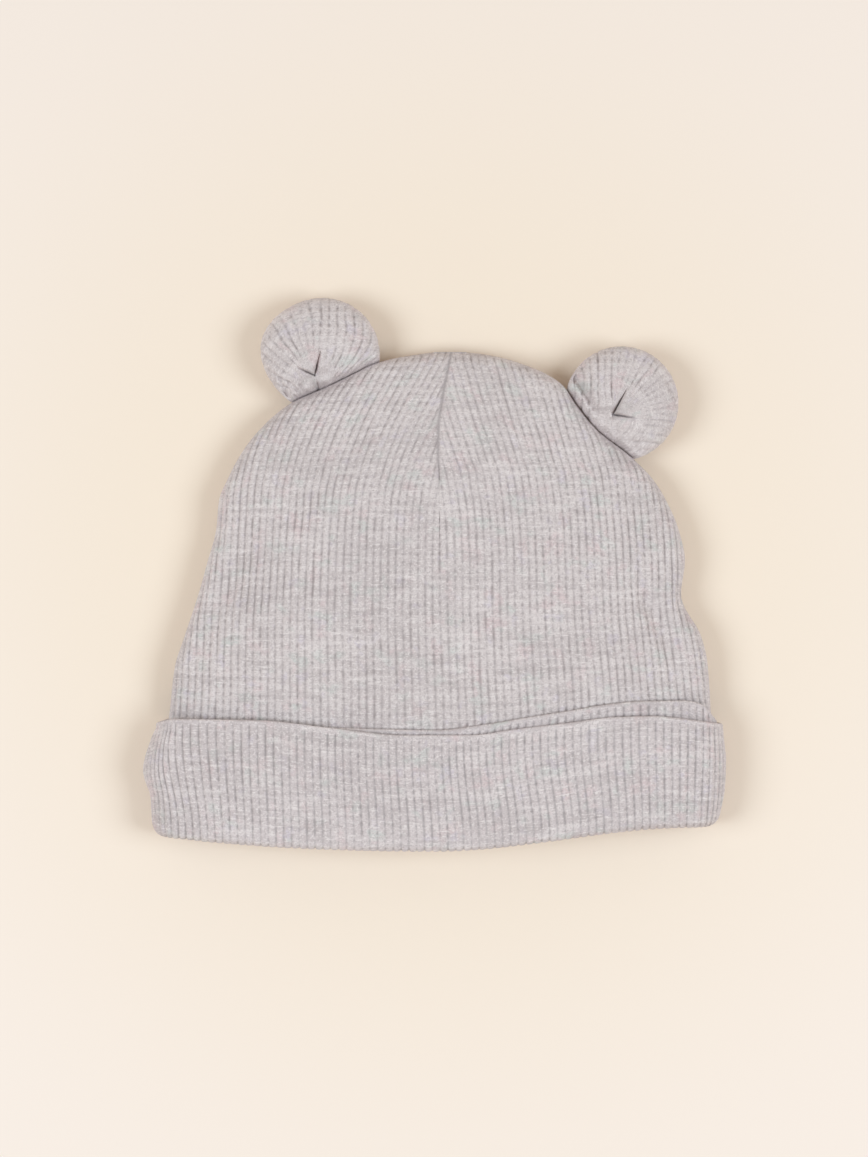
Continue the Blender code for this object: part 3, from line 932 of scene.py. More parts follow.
def cuff_stations():
    """Rows from inside the hem, round the roll, up the face and over its upper edge."""
    rows = [(roll_radius + ROLL_TUCK, 0.0, 2 * roll_radius, TUCKED_CELLS, 1.0)]
    for step in range(ROLL_STEPS, -1, -1):
        turn = math.pi * step / ROLL_STEPS
        depth = roll_radius * (1 - math.cos(turn))
        height = roll_radius * (1 - math.sin(turn))
        rows.append((height, 0.0, depth, -turn * roll_radius / CELL, ROLL_RELIEF))
    reach = cuff_middle - roll_radius
    count = round(reach / row_height)
    for step in range(1, count + 1):
        part = step / count
        height = roll_radius * (1 - part) - EDGE_ROUND * part
        knitted = ROLL_RELIEF + (CUFF_RELIEF - ROLL_RELIEF) * float(ease(part, 0, ROLL_FADE))
        knitted *= 1 - (1 - EDGE_RELIEF) * float(ease(part * reach, reach - EDGE_FADE, reach))
        rows.append((height, part, 0.0, part * reach / CELL, knitted))
    return rows + edge_stations(0.0, reach / CELL, EDGE_CLIMB)


cuff = ring_piece("cuff_knit", cuff_height, cuff_stations(), CUFF_OFFSET, CUFF_WALL)

# %% [markdown]
# ## The facing
#
# Behind the cuff's face lies a second layer. It was turned up less evenly, so that its edge
# peeps out above the cuff on the right. Only that strip shows, and the fine rows are spent
# there.

# %% Make the facing
FACING_ROWS = 22
FACING_CELLS = 14.0  # cells counted from the hem to its upper edge
FACING_OFFSET = 0.1  # in ribs, as for the cuff


def facing_stations():
    """Rows from under the cuff to the facing's upper edge and over it."""
    depth = CUFF_WALL + GAP
    rows = [(CROWN_START, 0.0, depth, 0.0, 1.0)]
    for step in range(FACING_ROWS, -1, -1):
        below = row_height * step + EDGE_ROUND
        knitted = EDGE_RELIEF + (1 - EDGE_RELIEF) * float(ease(below, EDGE_ROUND, EDGE_FADE))
        rows.append((-below, 1.0, depth, FACING_CELLS - below / CELL, knitted))
    return rows + edge_stations(depth, FACING_CELLS, 0.0)


facing = ring_piece(
    "facing_knit", facing_height, facing_stations(), FACING_OFFSET, FACING_WALL
)

# %% [markdown]
# ## The ears
#
# Each ear is a small bag of the same knit, stuffed, gathered at its foot and sewn into the
# crown's seam. A V-shaped tuck in its front makes the hollow of a bear's ear. Beside the
# tuck the ribs stand upright, and round its other side they fan out. A cloth simulation
# could inflate the bag, but it would lose the tuck and the ribs, so the ball is shaped by
# formula, ring by ring round the tuck's point.

# %% Where the ears sit
EAR_RADIUS = 16.2 * MM
EAR_STAND = 8.6 * MM  # from the seam to the ball's middle
EAR_SEGMENTS = 400
EAR_FRONT_RINGS = 76
EAR_BACK_RINGS = 34
SEAT_STEPS = 80

# Places are millimetres to the right of and above the ball's middle.
# side, from_top: the side of the crown's top, and how far along the seam the ear lies from it
# depths, plain: share of the relief, and how far plain cloth reaches from the tuck's point,
# first for the fanned ribs and then for the upright ones
# rib: how wide an upright rib is
# tuck, arms: the tuck's point, and the far ends of its two creases
# creases: both ends, the depth and half the width of each gather
# lobe: the direction of a fuller side, in degrees counter-clockwise from the right, and its share
# focus: the point from which the ribs fan out
# fan_side, fan_end: the fan's side, 1 for left, and its last turn from upright, in degrees
# drawn: the height over the focus below which the ribs draw together
EARS = {
    "left": dict(
        side=-1,
        from_top=29.7 * MM,
        depths=(1.0, 1.0),
        plain=(8.5 * MM, 5.0 * MM),
        rib=2.45 * MM,
        tuck=(-2.3, -6.0),
        arms=((-0.5, 0.9), (-7.6, -3.8)),
        creases=(
            ((-1.5, -8.2), (-1.3, -10.6), 1.1, 0.35),
            ((-9.4, -8.6), (-7.2, -10.4), 0.8, 0.45),
            ((-6.4, -8.8), (-4.6, -10.6), 0.7, 0.40),
            ((-12.2, -7.2), (-9.6, -12.2), 0.8, 0.50),
        ),
        lobe=(167, 0.11),
        focus=(-0.6, -11.1),
        fan_side=1,
        fan_end=46,
        drawn=17 * MM,
    ),
    "right": dict(
        side=1,
        from_top=54.0 * MM,
        depths=(0.85, 1.30),
        plain=(12.0 * MM, 4.0 * MM),
        rib=2.1 * MM,
        tuck=(-2.7, -3.4),
        arms=((4.4, -4.7), (1.6, 4.6)),
        creases=(((-12.9, 6.6), (-8.0, -1.4), 2.0, 0.80),),
        lobe=(250, 0.02),
        focus=(-3.0, -4.8),
        fan_side=-1,
        fan_end=97,
        drawn=3 * MM,
    ),
}


def ear_seat(side, from_top):
    """The ball's middle, the directions out and along, and the seam round the middle."""
    top = OUTLINE_STEPS
    path = outline[top:] if side > 0 else outline[top::-1]
    walked = np.concatenate([[0], np.cumsum(np.linalg.norm(np.diff(path, axis=0), axis=1))])
    half = math.sqrt(EAR_RADIUS**2 - EAR_STAND**2)
    ends = [from_top - half, from_top + half]
    start, end = [np.array([np.interp(d, walked, path[:, k]) for k in (0, 1)]) for d in ends]
    along = (end - start) / np.linalg.norm(end - start) * side
    out = np.array([-along[1], along[0]])
    middle = (start + end) / 2 + out * EAR_STAND
    steps = np.linspace(ends[0] - EAR_RADIUS, ends[1] + EAR_RADIUS, SEAT_STEPS)
    seam = np.stack([np.interp(steps, walked, path[:, k]) for k in (0, 1)], 1) - middle
    order = np.argsort(seam @ along)
    return middle + np.array([0, hem]), out, along, seam[order]


for key, facts in EARS.items():
    out = ear_seat(facts["side"], facts["from_top"])[1]
    print(f"the {key} ear points {math.degrees(math.atan2(out[0], out[1])):.0f} degrees from upright")

# %% [markdown]
# ## The ball and its tuck
#
# The ball is flattened towards its foot, where it is sewn in. The tuck is two narrow
# creases that meet in a point, with the cloth between them pushed up into a little pad that
# hangs over them. Shorter creases show where the foot was gathered.

# %% Shape the ball
EAR_LOFT = 16.5 * MM
FOOT_LOFT = 6.6 * MM
FOOT_ROUND = 1.8 * MM
SEWN_DIP = 0.8 * MM  # how far the seam draws the foot down
FOOT_TAB = 3.0 * MM  # how far the foot reaches in between the panels
EAR_LEVEL = 7.6 * MM
STUFFING = 0.85  # below 1 is fuller than an egg
LOBE_SPREAD = 0.60
RIM_CROWDING = 0.85  # draws the front's rings towards the rim
TUCK_DEPTH = 2.8 * MM
TUCK_WIDTH = 0.24 * MM
TUCK_CURVE = 1.4  # below 2 is sharper than a round furrow
TUCK_TAPER = (0.15, 1.10)  # shares of a crease's length between which it fades out
TUCK_FALL = 0.7  # below 1 keeps it deep for longer
TUCK_TIP = 0.35  # share of its width left at its end
TUCK_SHADE = 0.95  # how dark the painted shade in its creases is, as a share of a whole furrow's
# the same for the painted shade in the foot's gathers
GATHER_SHADE = 0.42
PAD_RISE = 0.9 * MM
PAD_REACH = 7.0 * MM
PAD_SINK = 0.6  # share of that rise by which the cloth outside the tuck sinks
PAD_EDGE = (-0.4 * MM, 0.5 * MM)  # places beside the crease between which it rises


def turn_between(angle, degrees):
    """The turn from a direction in degrees, between half a turn each way."""
    return np.mod(angle - math.radians(degrees) + math.pi, 2 * math.pi) - math.pi


def ear_rings(out, tuck, lobe):
    """Places round the tuck's point, front then back, and the level and side of each."""
    front = np.linspace(0, 1, EAR_FRONT_RINGS) ** RIM_CROWDING
    back = np.linspace(1, 0, EAR_BACK_RINGS)[1:]
    reach = np.concatenate([front, back])[:, None] * math.pi / 2
    up = np.concatenate([np.ones(len(front)), -np.ones(len(back))])[:, None]
    angle = np.linspace(0, 2 * math.pi, EAR_SEGMENTS, endpoint=False)[None, :]
    rim = 1 + lobe[1] * np.exp(-((turn_between(angle, lobe[0]) / LOBE_SPREAD) ** 2))
    radius = EAR_RADIUS * np.sin(reach) * rim
    right = radius * np.cos(angle) + (1 - np.sin(reach)) * tuck[0] * MM
    above = radius * np.sin(angle) + (1 - np.sin(reach)) * tuck[1] * MM
    inside = np.maximum(-EAR_STAND - FOOT_TAB - right * out[0] - above * out[1], 0)
    return right + inside * out[0], above + inside * out[1], np.cos(reach) + 0 * angle, up


def tuck_shape(right, above, facts):
    """The tuck's crease, the shade painted in it and in the gathers, how much it lifts or lowers a
    place, and how far it is.
    """
    point = np.array(facts["tuck"]) * MM
    ends = np.array(facts["arms"]) * MM
    away = np.hypot(right - point[0], above - point[1])
    crease = 0
    beside = []
    for end in ends:
        long = np.linalg.norm(end - point)
        near = distance_to(np.array([point, end]), right, above)
        taper = 1 - ease(away / long, *TUCK_TAPER)
        width = TUCK_WIDTH * (TUCK_TIP + (1 - TUCK_TIP) * taper)
        crease = np.maximum(crease, taper**TUCK_FALL * np.exp(-((near / width) ** TUCK_CURVE)))
        aim = (end - point) / long
        beside.append(aim[0] * (above - point[1]) - aim[1] * (right - point[0]))
    within = ease(np.minimum(beside[0], -beside[1]), *PAD_EDGE)
    pad = PAD_RISE * ((1 + PAD_SINK) * within - PAD_SINK) * np.exp(-((away / PAD_REACH) ** 2))
    sunk = TUCK_DEPTH * crease
    # painted shade in the tuck's creases and the foot's gathers
    painted_crease_shade = TUCK_SHADE * crease
    for start, end, deep, wide in facts["creases"]:
        near = distance_to(np.array([start, end]) * MM, right, above)
        groove = np.exp(-((near / (wide * MM)) ** 2))
        sunk = sunk + deep * MM * groove
        painted_crease_shade = np.maximum(painted_crease_shade, GATHER_SHADE * groove)
    return crease, painted_crease_shade, pad - sunk, away


print(f"ears {2 * EAR_RADIUS / MM:.1f} mm across and {EAR_LOFT / MM:.1f} mm thick")

# %% [markdown]
# ## The ear's ribs
#
# On the side of the crown's top the ribs stay parallel and are drawn together below. On
# the other side they fan out from a point under the tuck. They are shallower than on the
# crown, because stuffing stretches the knit.

# %% Rib lines of the ears
FAN_REACH = 20 * MM  # how far from the point the fanned ribs are this wide
FAN_RIB = 2.45 * MM
LEAST_UPRIGHT = 0.12  # share of the height drawn under which the ribs draw no closer
LEAST_FANNED = 0.45


def drawn_together(height, drawn, least):
    """Share of their width that ribs keep at a height over the focus."""
    return np.sin(np.clip(height / drawn, least, 1) * math.pi / 2)


def ear_ribs(right, above, facts):
    """Counts of ribs and cells over an ear, the turn from upright, and how far the point is."""
    drawn = facts["drawn"]
    x = facts["fan_side"] * (facts["focus"][0] * MM - right)
    y = above - facts["focus"][1] * MM
    far = np.hypot(x, y)
    turned = np.arctan2(x, y)
    last = math.radians(facts["fan_end"])
    upright = drawn_together(y, drawn, LEAST_UPRIGHT) if facts["fan_side"] > 0 else 1
    beyond = x * math.cos(last) - y * math.sin(last)
    outwards = x * math.sin(last) + y * math.cos(last)
    parallel = beyond / drawn_together(outwards, drawn, LEAST_FANNED)
    fanned = np.where(turned > last, last * FAN_REACH + parallel, turned * FAN_REACH)
    ribs = np.where(x > 0, fanned / FAN_RIB, x / upright / facts["rib"])
    return ribs, np.where(x > 0, far, y) / CELL, turned, far


for key, facts in EARS.items():
    fanned_ribs = math.radians(facts["fan_end"]) * FAN_REACH / FAN_RIB
    print(f"the {key} ear has about {fanned_ribs:.0f} fanned ribs")

# %% [markdown]
# ## Putting an ear together
#
# The ball, its tuck, the soft lumps of the stuffing and the ribs meet in one function, so
# both ears come from the same rules and differ only in their facts. Sculpting would give each
# of them faster, but then a change of size would mean sculpting again.

# %% Make the ears
EAR_FURROWS = 0.85
PLAIN_CORE = 0.45  # share of the plain cloth's reach with the least relief
PLAIN_RELIEF = 0.22  # share of the relief left there
RIM_RELIEF = 0.25  # and at the ball's rim
RIM_BAND = (0.05, 0.45)  # levels between which it grows from there, 1 being the top
FOCUS_BAND = (3 * MM, 9 * MM)  # how far from the focus it grows
MOULDED = 0.35  # level at which the tuck and the lumps have their full height
GATHER_BAND = (2 * MM, 6 * MM)  # how far from the seam the small gathers fade out
SEWN_SHADE = 0.30  # painted shade along the seam, where the ear meets the crown
SEWN_WIDTH = 0.6 * MM
TABLE_GAP = 0.02 * MM
LATTICE_START = 40
WORN = 0.98  # the knit's wear, on average

# unevenness: amount, size of a bump across and up, seed
LUMPS = (0.28 * MM, 5 * MM, 5 * MM, 41)
GATHERS = (0.80 * MM, 1.7 * MM, 2.6 * MM, 42)
EAR_SWAY = (0.15, 3.6 * MM, 3.6 * MM, 31)
WEAR = (0.32, 2.4 * MM, 3.2 * MM, 44)


def make_ear(name, facts):
    """One stuffed ear."""
    side = facts["side"]
    middle, out, along, seam = ear_seat(side, facts["from_top"])
    right, above, level, up = ear_rings(out, facts["tuck"], facts["lobe"])
    crease, painted_crease_shade, moved, away = tuck_shape(right, above, facts)

    sideways = right * along[0] + above * along[1]
    outwards = right * out[0] + above * out[1]
    stand = np.maximum(outwards - np.interp(sideways, seam @ along, seam @ out), 0)
    foot_share = FOOT_LOFT / EAR_LOFT
    edge_share = edge(stand, FOOT_ROUND) / FOOT_ROUND
    full = foot_share * edge_share + (1 - foot_share) * ease(stand, 0, EAR_STAND)
    start = (LATTICE_START, LATTICE_START)
    soft = bumps(LUMPS, right, above, (LATTICE_START * side, LATTICE_START))
    gather = bumps(GATHERS, right, above, start)
    soft = soft + gather * (1 - ease(stand, *GATHER_BAND)) * edge_share
    moulded = ease(level, 0, MOULDED)
    rise = EAR_LOFT / 2 * level**STUFFING * full
    rise = up * rise + np.where(up > 0, (moved + soft) * moulded, 0)
    sewn = seam_level - SEWN_DIP
    level_here = sewn + (EAR_LEVEL - sewn) * ease(stand, 0, FOOT_ROUND)
    z = np.maximum(level_here + rise, TABLE_GAP)
    places = np.stack([middle[0] + right, middle[1] + above, z], -1)

    ribs, cells, turned, far = ear_ribs(right, above, facts)
    ribs = ribs + bumps(EAR_SWAY, right, above, start, side)
    wrapped = np.concatenate([places[:, -2:], places, places[:, :2]], axis=1)
    normal = unit(np.cross(np.gradient(wrapped, axis=1), np.gradient(wrapped, axis=0)))[:, 2:-2]
    plain = np.where(turned > 0, *facts["plain"])
    shown = ease(far, *FOCUS_BAND) * ease(away, PLAIN_CORE * plain, plain) * (1 - crease)
    shown = PLAIN_RELIEF + (1 - PLAIN_RELIEF) * shown
    shown = shown * (RIM_RELIEF + (1 - RIM_RELIEF) * ease(level, *RIM_BAND)) * edge_share
    worn = WORN + bumps(WEAR, right, above, start, side)
    shown = shown * worn * np.where(turned > 0, *facts["depths"])
    depth = EAR_FURROWS * relief(ribs, cells) * shown
    face = places + normal * depth[..., None]
    # painted shade: a dark line along the seam, joined to the painted shade of the tuck and gathers
    painted_seam_shade = SEWN_SHADE * np.exp(-((stand / SEWN_WIDTH) ** 2))
    painted_crease_shade = np.where(up > 0, np.maximum(painted_crease_shade * moulded, painted_seam_shade), 0)
    shade = np.maximum(depth, FURROW_DEPTH * painted_crease_shade)
    print(f"{name}: middle at {middle[0] / MM:.1f}, {middle[1] / MM:.1f} mm")
    return ear_mesh(name, face, ribs, cells, shade)


def ear_mesh(name, face, ribs, cells, depth):
    """A closed ball from rings of points, the first and last of which are single places."""
    rows, columns = face.shape[:2]
    faces = []
    for i in range(rows - 1):
        low = i * columns + np.arange(columns)
        right = i * columns + (np.arange(columns) + 1) % columns
        faces += np.stack([low, low + columns, right + columns, right], 1).tolist()
    return knit_mesh(name, face.reshape(-1, 3), faces, ribs, cells, depth)


ears = {key: make_ear(f"ear_{key}_knit", facts) for key, facts in EARS.items()}

# %% [markdown]
# ## Helpers for shader nodes
#
# A material is a tree of small nodes. In the shader editor they are laid out by hand. Here a
# few short helpers add one node each and link it, so a recipe reads like a sentence.

# %% Node helpers
SEED_STEP = 1.7
NOISE_ROUGHNESS = 0.6
MIX_INPUTS = (0, 6, 7)  # a mix node's sockets for its amount and for its two colours
MIX_OUTPUT = 2


def node(tree, kind, inputs=None, **settings):
    """A node with its settings and inputs, where an input may be another node's output."""
    made = tree.nodes.new(kind)
    for key, value in settings.items():
        setattr(made, key, value)
    for key, value in (inputs or {}).items():
        if isinstance(value, bpy.types.NodeSocket):
            tree.links.new(value, made.inputs[key])
        else:
            made.inputs[key].default_value = value
    return made


def calc(tree, operation, first, second=0.0, third=0.0):
    """The result of a sum on numbers or sockets."""
    made = node(tree, "ShaderNodeMath", {0: first, 1: second, 2: third}, operation=operation)
    return made.outputs[0]


def fade(tree, value, low, high):
    """0 below low, 1 above high, and smooth between."""
    inputs = {"Value": value, "From Min": low, "From Max": high}
    made = node(tree, "ShaderNodeMapRange", inputs, interpolation_type="SMOOTHSTEP")
    return made.outputs["Result"]


def blend(tree, amount, first, second):
    """A mix of two colours."""
    inputs = dict(zip(MIX_INPUTS, (amount, first, second)))
    made = node(tree, "ShaderNodeMix", inputs, data_type="RGBA")
    return made.outputs[MIX_OUTPUT]


def yarn_noise(tree, count, across, along, detail, seed):
    """Noise on the knit's own count of ribs and cells, stretched across or along."""
    scaled = node(tree, "ShaderNodeMapping", {"Vector": count})
    scaled.inputs["Scale"].default_value = (across, along, 1)
    scaled.inputs["Location"].default_value = (seed, seed * SEED_STEP, seed)
    inputs = {"Vector": scaled.outputs[0], "Scale": 1.0, "Detail": detail}
    inputs["Roughness"] = NOISE_ROUGHNESS
    return node(tree, "ShaderNodeTexNoise", inputs).outputs["Fac"]


def set_finish(shader, values):
    """The shader's own sockets, set to these values."""
    for socket, value in values.items():
        shader.inputs[socket].default_value = value


# %% [markdown]
# ## The yarn
#
# Heather-grey yarn is spun from pale and darker fibres, so a knit of it is never one grey.
# Along each row the shade changes every few stitches, in short dashes. All of it is made
# with noise, stretched along the rows of the knit's own UV map. Paint or a photograph would
# do the same once, but noise has the right scale on every piece.

# %% The yarn's shades
YARN = (0.708, 0.638, 0.643, 1)
CUFF_YARN = (0.672, 0.600, 0.612, 1)
PALE_YARN = (0.860, 0.794, 0.795, 1)
DARK_YARN = (0.505, 0.446, 0.452, 1)
ROSE_YARN = (0.715, 0.585, 0.600, 1)
COOL_YARN = (0.635, 0.645, 0.630, 1)
LILAC_YARN = (0.665, 0.600, 0.665, 1)
# painted shade, mixed in where furrows are deep and along the seams' lines
FURROW_SHADE = (0.350, 0.312, 0.318, 1)

# in the order in which they are laid on: shade, amount, the noise at which a patch begins and
# at which it is full, bumps to a rib and to a cell, seed, detail
PATCHES = (
    (ROSE_YARN, 0.85, 0.54, 0.68, 0.34, 0.32, 3.0, 2.0),
    (COOL_YARN, 0.80, 0.55, 0.69, 0.30, 0.38, 17.0, 2.0),
    (LILAC_YARN, 0.80, 0.58, 0.70, 0.42, 0.42, 23.0, 2.0),
    (DARK_YARN, 0.30, 0.42, 0.62, 0.07, 0.09, 71.0, 2.0),
    (PALE_YARN, 0.38, 0.50, 0.64, 0.14, 0.80, 13.0, 2.0),
    (DARK_YARN, 0.44, 0.52, 0.66, 0.14, 0.70, 31.0, 2.0),
    (PALE_YARN, 0.22, 0.52, 0.66, 0.36, 1.9, 11.0, 2.0),
    (DARK_YARN, 0.28, 0.53, 0.66, 0.30, 2.0, 29.0, 2.0),
)
STREAKS = (
    (PALE_YARN, 1.00, 0.61, 0.71, 0.40, 3.4, 41.0, 1.0),
    (DARK_YARN, 0.70, 0.62, 0.72, 0.46, 3.6, 43.0, 1.0),
)
FLECKS = (
    (PALE_YARN, 0.70, 0.58, 0.72, 1.7, 3.2, 37.0, 1.0),
    (DARK_YARN, 0.60, 0.58, 0.72, 1.9, 3.0, 53.0, 1.0),
    (PALE_YARN, 0.60, 0.54, 0.68, 3.8, 4.6, 83.0, 1.0),
    (DARK_YARN, 0.60, 0.54, 0.68, 3.6, 4.4, 97.0, 1.0),
)


def heather(tree, count, colour, patches, share=1.0):
    """A colour with patches of other shades laid on it."""
    for shade, amount, low, high, across, along, seed, detail in patches:
        noise = yarn_noise(tree, count, across, along, detail, seed)
        shown = calc(tree, "MULTIPLY", fade(tree, noise, low, high), amount * share)
        colour = blend(tree, shown, colour, shade)
    return colour


print(len(PATCHES + STREAKS + FLECKS), "kinds of patches, streaks and flecks")

# %% [markdown]
# ## The knit's material
#
# One recipe serves all pieces: the heather yarn, then a painted shade in the furrows and in
# the seams' lines, where less light reaches, then a bump for the stitches and fibres, which
# are too fine to model. The cuff's furrows get a little more painted shade, and the stuffed
# ears show fewer streaks.

# %% The knit's material
FURROW_BAND = (0.12, 0.90)  # shares of a furrow's depth between which its painted shade grows
SEAM_BAND = (1.1, 2.0)  # the same past a whole furrow's depth, in the painted shade lines of the seams
# how much more painted shade the seams' lines get
SEAM_SHADE = 0.25
STITCH_COLUMNS = 2.0  # in a rib
STITCH_ROWS = 3.0  # in a cell
STITCH_SLANT = 1.4
STITCH_RISE = 0.34
FIBRES = 9.0  # bumps to a rib and to a cell
FIBRE_DETAIL = 3.0
FIBRE_SEED = 61.0
FIBRE_RISE = 1.1
BUMP_SHARE = 0.55
BUMP_HEIGHT = 0.16 * MM
YARN_FINISH = {
    "Roughness": 0.95,
    "Specular IOR Level": 0.15,
    "Sheen Weight": 0.10,
    "Sheen Roughness": 0.6,
}


def stitch_height(tree, count):
    """The height of the stitches and fibres."""
    split = node(tree, "ShaderNodeSeparateXYZ", {0: count})
    columns = calc(tree, "MULTIPLY", split.outputs["X"], STITCH_COLUMNS)
    slant = calc(tree, "MULTIPLY", calc(tree, "PINGPONG", columns, 0.5), STITCH_SLANT)
    phase = calc(tree, "MULTIPLY_ADD", split.outputs["Y"], STITCH_ROWS, slant)
    stitch = calc(tree, "SINE", calc(tree, "MULTIPLY", phase, 2 * math.pi))
    fibre = yarn_noise(tree, count, FIBRES, FIBRES, FIBRE_DETAIL, FIBRE_SEED)
    return calc(tree, "MULTIPLY_ADD", stitch, STITCH_RISE, calc(tree, "MULTIPLY", fibre, FIBRE_RISE))


def knit_material(name, yarn, streaks, painted_shade):
    """Heather yarn in ribs, with shares for its pale streaks and for the shade painted in its
    furrows.
    """
    made = bpy.data.materials.new(name)
    made.use_nodes = True
    tree = made.node_tree
    finish = tree.nodes["Principled BSDF"]
    count = node(tree, "ShaderNodeUVMap", uv_map="knit").outputs["UV"]
    colour = heather(tree, count, yarn, PATCHES)
    colour = heather(tree, count, colour, STREAKS, streaks)
    colour = heather(tree, count, colour, FLECKS)
    deep = node(tree, "ShaderNodeAttribute", attribute_name="furrow").outputs["Fac"]
    # painted shade: darker where a furrow is deep, darker still in the lines of the seams
    shade = calc(tree, "MULTIPLY", fade(tree, deep, *FURROW_BAND), painted_shade)
    shade = calc(tree, "MULTIPLY_ADD", fade(tree, deep, *SEAM_BAND), SEAM_SHADE, shade)
    colour = blend(tree, shade, colour, FURROW_SHADE)
    inputs = {"Height": stitch_height(tree, count), "Strength": BUMP_SHARE}
    inputs["Distance"] = BUMP_HEIGHT
    bump = node(tree, "ShaderNodeBump", inputs)
    tree.links.new(colour, finish.inputs["Base Color"])
    tree.links.new(bump.outputs["Normal"], finish.inputs["Normal"])
    set_finish(finish, YARN_FINISH)
    return made


crown_yarn = knit_material("crown_yarn", YARN, streaks=0.70, painted_shade=0.50)
cuff_yarn = knit_material("cuff_yarn", CUFF_YARN, streaks=0.70, painted_shade=0.55)
ear_yarn = knit_material("ear_yarn", YARN, streaks=0.20, painted_shade=0.46)
print("materials:", ", ".join(made.name for made in (crown_yarn, cuff_yarn, ear_yarn)))

# %% [markdown]
# ## Dress the frame
#
# Every piece takes the place of its plain solid, which is hidden, and hangs from the hat's root.
# The ears are stuffed.

# %% Put the pieces in place
DRESS = (
    (crown_front, "crown_front", crown_yarn, "rib_knit"),
    (crown_back, "crown_back", crown_yarn, "rib_knit"),
    (cuff, "cuff", cuff_yarn, "rib_knit"),
    (facing, "cuff_facing", cuff_yarn, "rib_knit"),
    (ears["left"], "ear_left", ear_yarn, "ear_knit"),
    (ears["right"], "ear_right", ear_yarn, "ear_knit"),
)
for piece, solid, yarn, slot in DRESS:
    piece.data.materials.clear()
    piece.data.materials.append(yarn)
    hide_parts(solid)
    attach(piece, "root")
print("pieces:", ", ".join(piece.name for piece, *_ in DRESS))

# %% [markdown]
# ## The table
#
# The hat lies on a pale cream surface. A soft shadow is painted on it round the hat: a darker,
# warmer cream that fades slowly with the distance from the hat, on one plain sheet.

# %% Table
PAINTED_SHADOW_TABLE = (0.939, 0.812, 0.690, 1)  # painted shadow: a darker, warmer cream round the hat
FAR_TABLE = (0.956, 0.850, 0.784, 1)
NEAR_REACH = 60 * MM
FAR_REACH = 210 * MM
TABLE_SIZE = 1.6
TABLE_DROP = 0.05 * MM  # how far the hat clears the table
TABLE_FINISH = {"Roughness": 0.9, "Specular IOR Level": 0.1}

table_mesh = bpy.data.meshes.new("table")
corners = [(-1, -1), (1, -1), (1, 1), (-1, 1)]
table_points = [(x * TABLE_SIZE, y * TABLE_SIZE, -TABLE_DROP) for x, y in corners]
table_mesh.from_pydata(table_points, [], [(0, 1, 2, 3)])
table = bpy.data.objects.new("table", table_mesh)
bpy.context.scene.collection.objects.link(table)
table_paint_and_shadow = bpy.data.materials.new("table_paint_and_shadow")
table_paint_and_shadow.use_nodes = True
paint_tree = table_paint_and_shadow.node_tree
paint = paint_tree.nodes["Principled BSDF"]
place = node(paint_tree, "ShaderNodeTexCoord").outputs["Object"]
from_hat = node(paint_tree, "ShaderNodeVectorMath", {0: place}, operation="LENGTH").outputs["Value"]
# painted shadow, fading out between these distances from the hat
out_of_painted_shadow = fade(paint_tree, from_hat, NEAR_REACH, FAR_REACH)
paint_tree.links.new(blend(paint_tree, out_of_painted_shadow, PAINTED_SHADOW_TABLE, FAR_TABLE), paint.inputs["Base Color"])
set_finish(paint, TABLE_FINISH)
table_mesh.materials.append(table_paint_and_shadow)
print(f"table {2 * TABLE_SIZE:.1f} m wide")

# %% [markdown]
# ## The light
#
# The picture has the soft, even light of a shop's photograph. A bright plain world gives the
# evenness. Two wide, cooler lamps stand to the left and right, so a soft shadow is left on
# both sides of the hat, and it is warm, because the world alone lights it. A darker, warmer
# cream painted on the table round the hat adds to that shadow. One lamp would be simpler,
# but its shadow falls on one side only.

# %% Light
ROOM_COLOUR = (1.0, 0.905, 0.785, 1)
ROOM_STRENGTH = 0.465
LAMP_COLOUR = (0.82, 0.93, 1.0)
LAMP_POWER = 7.3
LAMP_SIZE = 0.7
LAMP_SIDE = 0.85
LAMP_HEIGHT = 0.95
LAMP_BELOW = 0.13  # how far towards the hem from the hat's middle

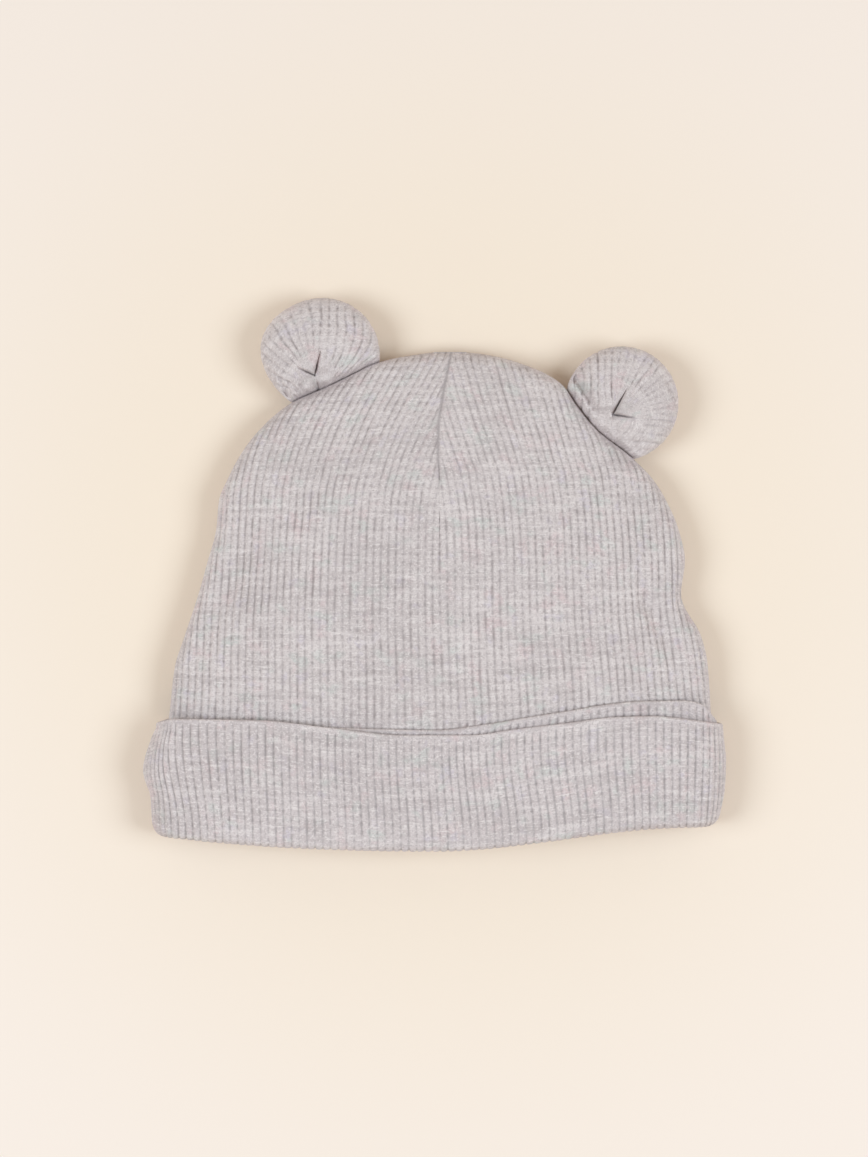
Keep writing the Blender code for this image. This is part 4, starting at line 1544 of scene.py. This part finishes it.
world = bpy.data.worlds.new("soft_room")
bpy.context.scene.world = world
world.use_nodes = True
sky = world.node_tree.nodes["Background"]
set_finish(sky, {"Color": ROOM_COLOUR, "Strength": ROOM_STRENGTH})
for name, side in (("left_lamp", -1), ("right_lamp", 1)):
    lamp_data = bpy.data.lights.new(name, "AREA")
    lamp_data.shape = "DISK"
    lamp_data.size = LAMP_SIZE
    lamp_data.energy = LAMP_POWER
    lamp_data.color = LAMP_COLOUR
    lamp = bpy.data.objects.new(name, lamp_data)
    lamp.location = (side * LAMP_SIDE, -LAMP_BELOW, LAMP_HEIGHT)
    lamp.rotation_euler = (0, side * math.atan2(LAMP_SIDE, LAMP_HEIGHT), 0)
    bpy.context.scene.collection.objects.link(lamp)
    print(f"{name}: {LAMP_POWER} W, {LAMP_SIZE} m wide")

# %% [markdown]
# ## The camera
#
# It looks straight down, and its lens is long enough to show the hat with little
# perspective. Its picture is as large on the table as the photograph's pixels say.

# %% Camera
SENSOR = 36
PICTURE_WIDTH = 868
PICTURE_HEIGHT = 1157
PIXEL = 0.285 * MM
HAT_MIDDLE = (434.5, 573.5)  # the hat's middle in the picture, in pixels
CAMERA_HEIGHT = 1.10
view_long = PICTURE_HEIGHT * PIXEL

camera_data = bpy.data.cameras.new("camera")
camera_data.sensor_width = SENSOR
camera_data.lens = SENSOR * (CAMERA_HEIGHT - seam_level) / view_long
camera = bpy.data.objects.new("camera", camera_data)
camera.location = (
    (PICTURE_WIDTH / 2 - HAT_MIDDLE[0]) * PIXEL,
    (HAT_MIDDLE[1] - PICTURE_HEIGHT / 2) * PIXEL,
    CAMERA_HEIGHT,
)
bpy.context.scene.collection.objects.link(camera)
bpy.context.scene.camera = camera
bpy.context.scene.view_settings.view_transform = "Standard"
print(f"lens {camera_data.lens:.1f} mm, {CAMERA_HEIGHT:.2f} m above the table")

# %% [markdown]
# ## The frame's size
#
# The last cell prints the box of the plain frame. The dressed hat's box should agree with it,
# because the knit only ever sinks inwards.

# %% Size of the frame
print("frame box:", np.round(np.array(cad_box) / MM, 1).tolist())
